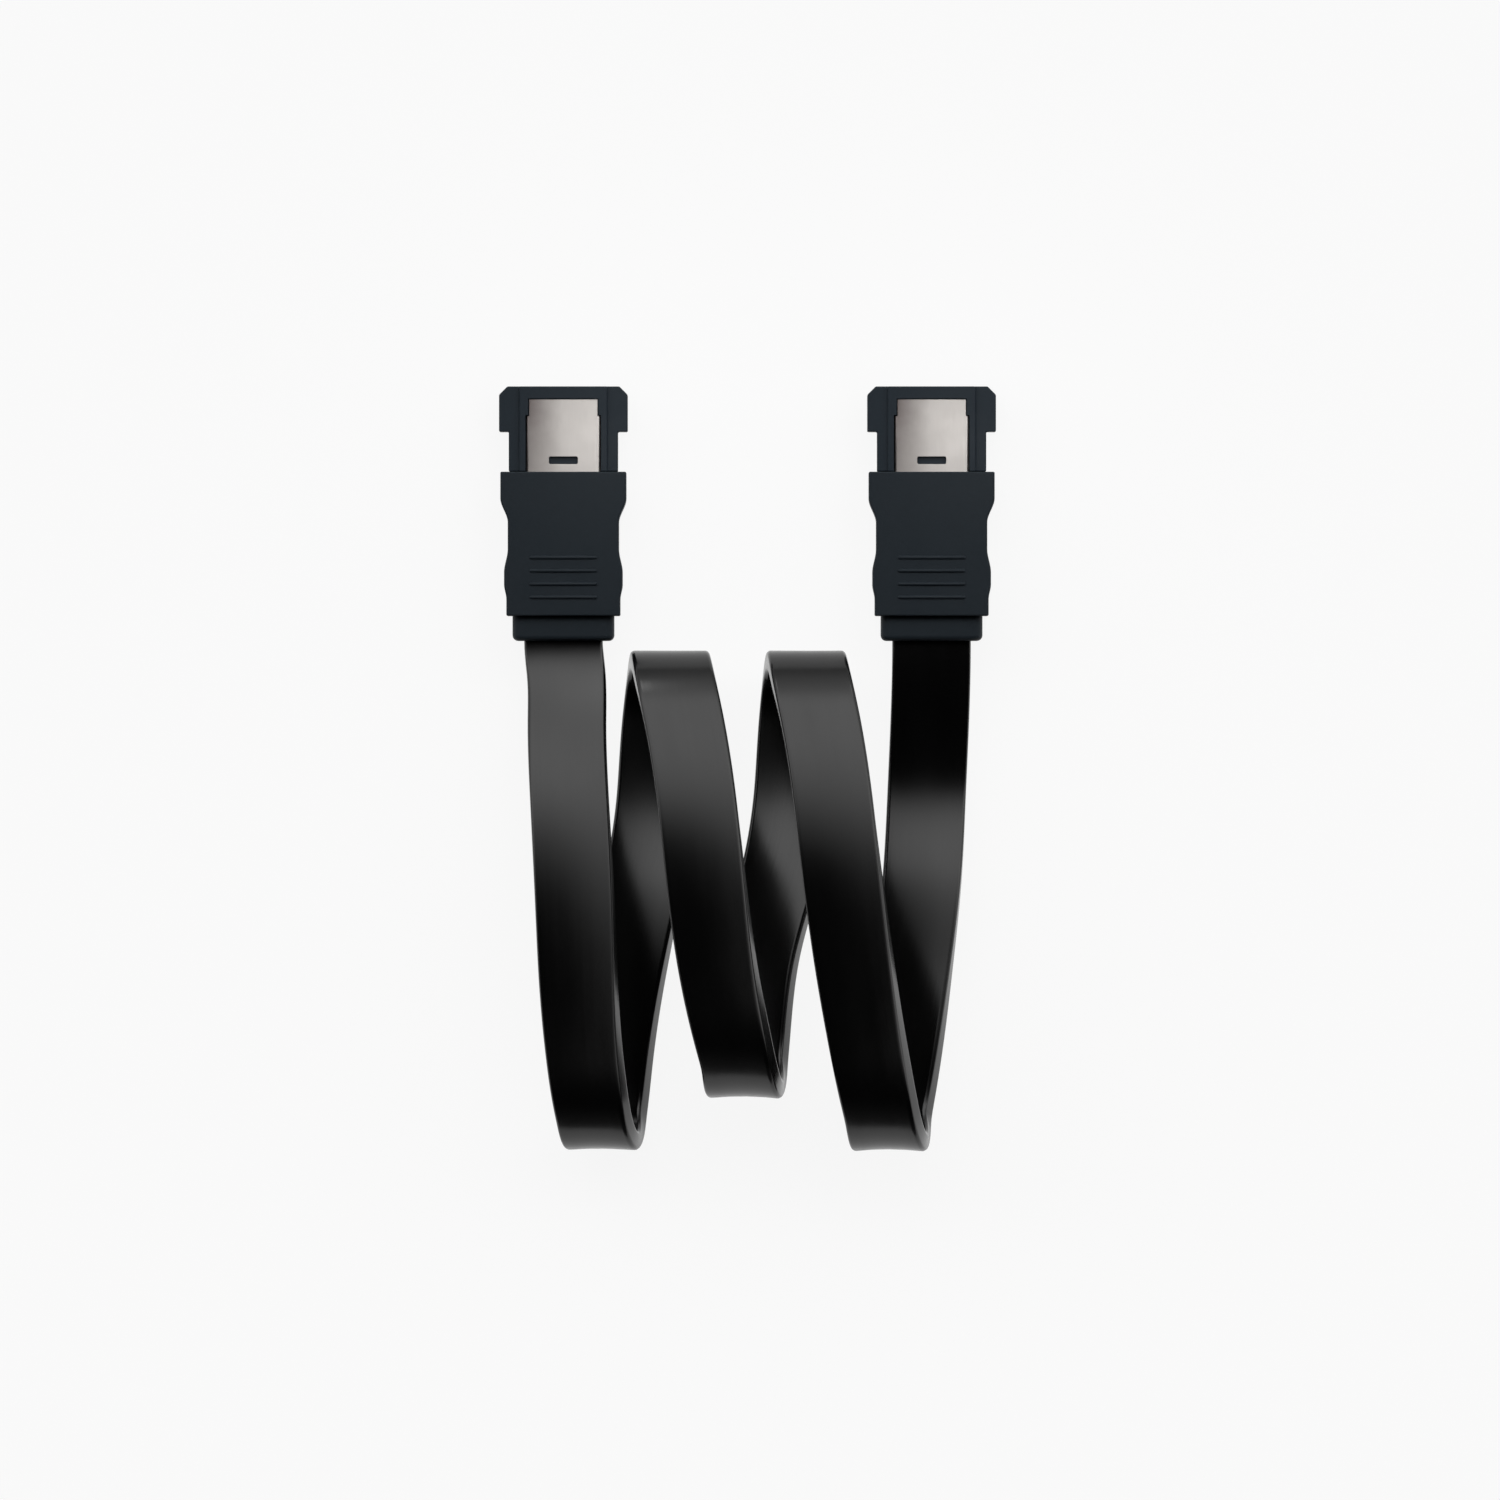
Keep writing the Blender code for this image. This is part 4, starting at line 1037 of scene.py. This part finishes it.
# %% The grip's outline
GRIP_LENGTH, GRIP_THICKNESS, GRIP_EDGE, GRIP_END_EDGE = 0.0156, 0.0066, 0.0008, 0.0003
SHOULDER_WIDTH, TAIL_WIDTH = 0.0136, 0.0123
GRIP_STATIONS = [(0.0029, SHOULDER_WIDTH), (0.0055, 0.0120), (0.0084, 0.0120),
                 (0.0109, 0.0128), (0.0122, 0.0128), (0.0138, TAIL_WIDTH)]
OUTLINE_POINTS = 74
COLLAR_WIDTH, COLLAR_THICKNESS, COLLAR_CORNER, COLLAR_REAR_EDGE = 0.0110, 0.0050, 0.0010, 0.0006
MOULD_WIDTH = 0.0092
JACKET_END = PLUG_LENGTH - JACKET_INSIDE
MOULD_OVERLAP, PASSAGE_OVERLAP = 0.0005, 0.0011


def grip_half_width(distance):
    """Half the grip's width at a distance behind its front."""
    if distance <= GRIP_STATIONS[0][0]:
        return SHOULDER_WIDTH / 2
    for (start, width), (end, next_width) in zip(GRIP_STATIONS, GRIP_STATIONS[1:]):
        if distance <= end:
            share = (distance - start) / (end - start)
            return (width + (next_width - width) * share * share * (3 - 2 * share)) / 2
    return TAIL_WIDTH / 2


distances = np.linspace(-PAST, GRIP_LENGTH + PAST, OUTLINE_POINTS)
right_half = [(grip_half_width(distance), along(HEAD_LENGTH + distance)) for distance in distances]
grip = prism(both_sides(right_half), -GRIP_THICKNESS / 2, GRIP_THICKNESS / 2)
round_edges(grip, GRIP_EDGE, 7)
grip_back = HEAD_LENGTH + GRIP_LENGTH
combine(grip, box(FLANGE_WIDTH, HEAD_LENGTH + SEAM, grip_back, -GRIP_THICKNESS, GRIP_THICKNESS), "INTERSECT")
round_edges(grip, GRIP_END_EDGE, 4, 60)
print("grip's waist in mm:", round(2000 * min(width for width, _ in right_half), 2))

# %% [markdown]
# ## The collar and the ribs
#
# A stepped collar carries the grip on round the cable and keeps it from kinking there. Only its
# long edges and its rear edges are rounded, so they are picked by where they lie. The four ribs
# give the fingers hold. Each is a sphere whose two halves are drawn apart, sunk into the grip's top.

# %% The collar
collar = box(COLLAR_WIDTH / 2, grip_back - GRIP_EDGE, PLUG_LENGTH,
             -COLLAR_THICKNESS / 2, COLLAR_THICKNESS / 2)
bm = bmesh.new()
bm.from_mesh(collar.data)
lengthways = [e for e in bm.edges if abs((e.verts[0].co - e.verts[1].co).normalized().y) > 0.99]
bmesh.ops.bevel(bm, geom=lengthways, offset=COLLAR_CORNER, segments=7, profile=0.5, affect="EDGES")
rear = [e for e in bm.edges if all(v.co.y < along(PLUG_LENGTH) + FIT_GAP for v in e.verts)]
bmesh.ops.bevel(bm, geom=rear, offset=COLLAR_REAR_EDGE, segments=4, profile=0.5, affect="EDGES")
bm.to_mesh(collar.data)
bm.free()
combine(grip, collar, "UNION")
print("edges rounded along and behind:", len(lengthways), len(rear))

# %% The ribs
RIB_SPAN, RIB_LENGTH, RIB_HEIGHT, RIB_ROOT, RIB_END = 0.0074, 0.00045, 0.0002, 0.0001, 0.0003
RIB_COUNT, RIB_START, RIB_PITCH = 4, 0.0093, 0.00143
bm = bmesh.new()
bmesh.ops.create_uvsphere(bm, u_segments=16, v_segments=10, radius=1,
                          matrix=Matrix.Rotation(math.pi / 2, 4, "Y"))
for vertex in bm.verts:
    side = math.copysign(RIB_SPAN / 2 - RIB_END, vertex.co.x) if abs(vertex.co.x) > 1e-4 else 0
    vertex.co = (vertex.co.x * RIB_END + side, vertex.co.y * RIB_LENGTH / 2,
                 vertex.co.z * (RIB_HEIGHT + RIB_ROOT))
rib = solid(bm)
ribs = row_mesh(First=rib, Second=rib, Every=1, Count=RIB_COUNT,
                Start=(0, along(HEAD_LENGTH + RIB_START), GRIP_THICKNESS / 2 - RIB_ROOT),
                Step=(0, -RIB_PITCH, 0), Finish=grip_plastic)
ribs.materials.clear()
rib_row = bpy.data.objects.new("rib_row", ribs)
workbench.objects.link(rib_row)
combine(grip, rib_row, "UNION")
print("ribs:", RIB_COUNT, "every", RIB_PITCH * 1000, "mm")

# %% [markdown]
# ## The grip's hollows
#
# The grip is moulded round the housing's tail, the inner block and the cable, so it is hollow
# where they lie. One box makes the pocket for the block and the plate's tail, and another the
# passage for the cable, both with a hair's clearance.

# %% The grip's hollows
pocket_top = PLATE_TOP + FIT_GAP
combine(grip, box(MOULD_WIDTH / 2 + FIT_GAP, HEAD_LENGTH - PAST, JACKET_END - MOULD_OVERLAP,
                  -pocket_top, pocket_top), "DIFFERENCE")
channel = JACKET_THICKNESS / 2 + FIT_GAP
combine(grip, box(JACKET_WIDTH / 2 + FIT_GAP, JACKET_END - PASSAGE_OVERLAP, PLUG_LENGTH + PAST,
                  -channel, channel), "DIFFERENCE")
grip_mesh = finished_mesh(grip)
for side, x in SIDES.items():
    place_piece(side + "_grip_fine", grip_mesh, x, grip_plastic, "grip_plastic", side + "_grip")

# %% [markdown]
# ## What is inside
#
# The moulded block, the cores and the wires lie inside the grips, where a cut-away view would show
# them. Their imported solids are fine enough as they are, so they only take a finish.

# %% Finishes for the inner pieces
INNER = {"inner_mould": mould_plastic, "core": insulation,
         "conductor": tinned_copper, "ground_wire": tinned_copper}
dressed = 0
for name, node in nodes.items():
    for part, material in INNER.items():
        if name.split("_", 1)[1].startswith(part):
            node.data.materials.clear()
            node.data.materials.append(material)
            dressed += 1
print("inner pieces dressed:", dressed)

# %% [markdown]
# ## Tidying up
#
# Only the finished pieces stay in the scene, so the workbench goes, with everything on it.

# %% Clear the workbench
for obj in list(workbench.objects):
    bpy.data.objects.remove(obj, do_unlink=True)
bpy.data.collections.remove(workbench)
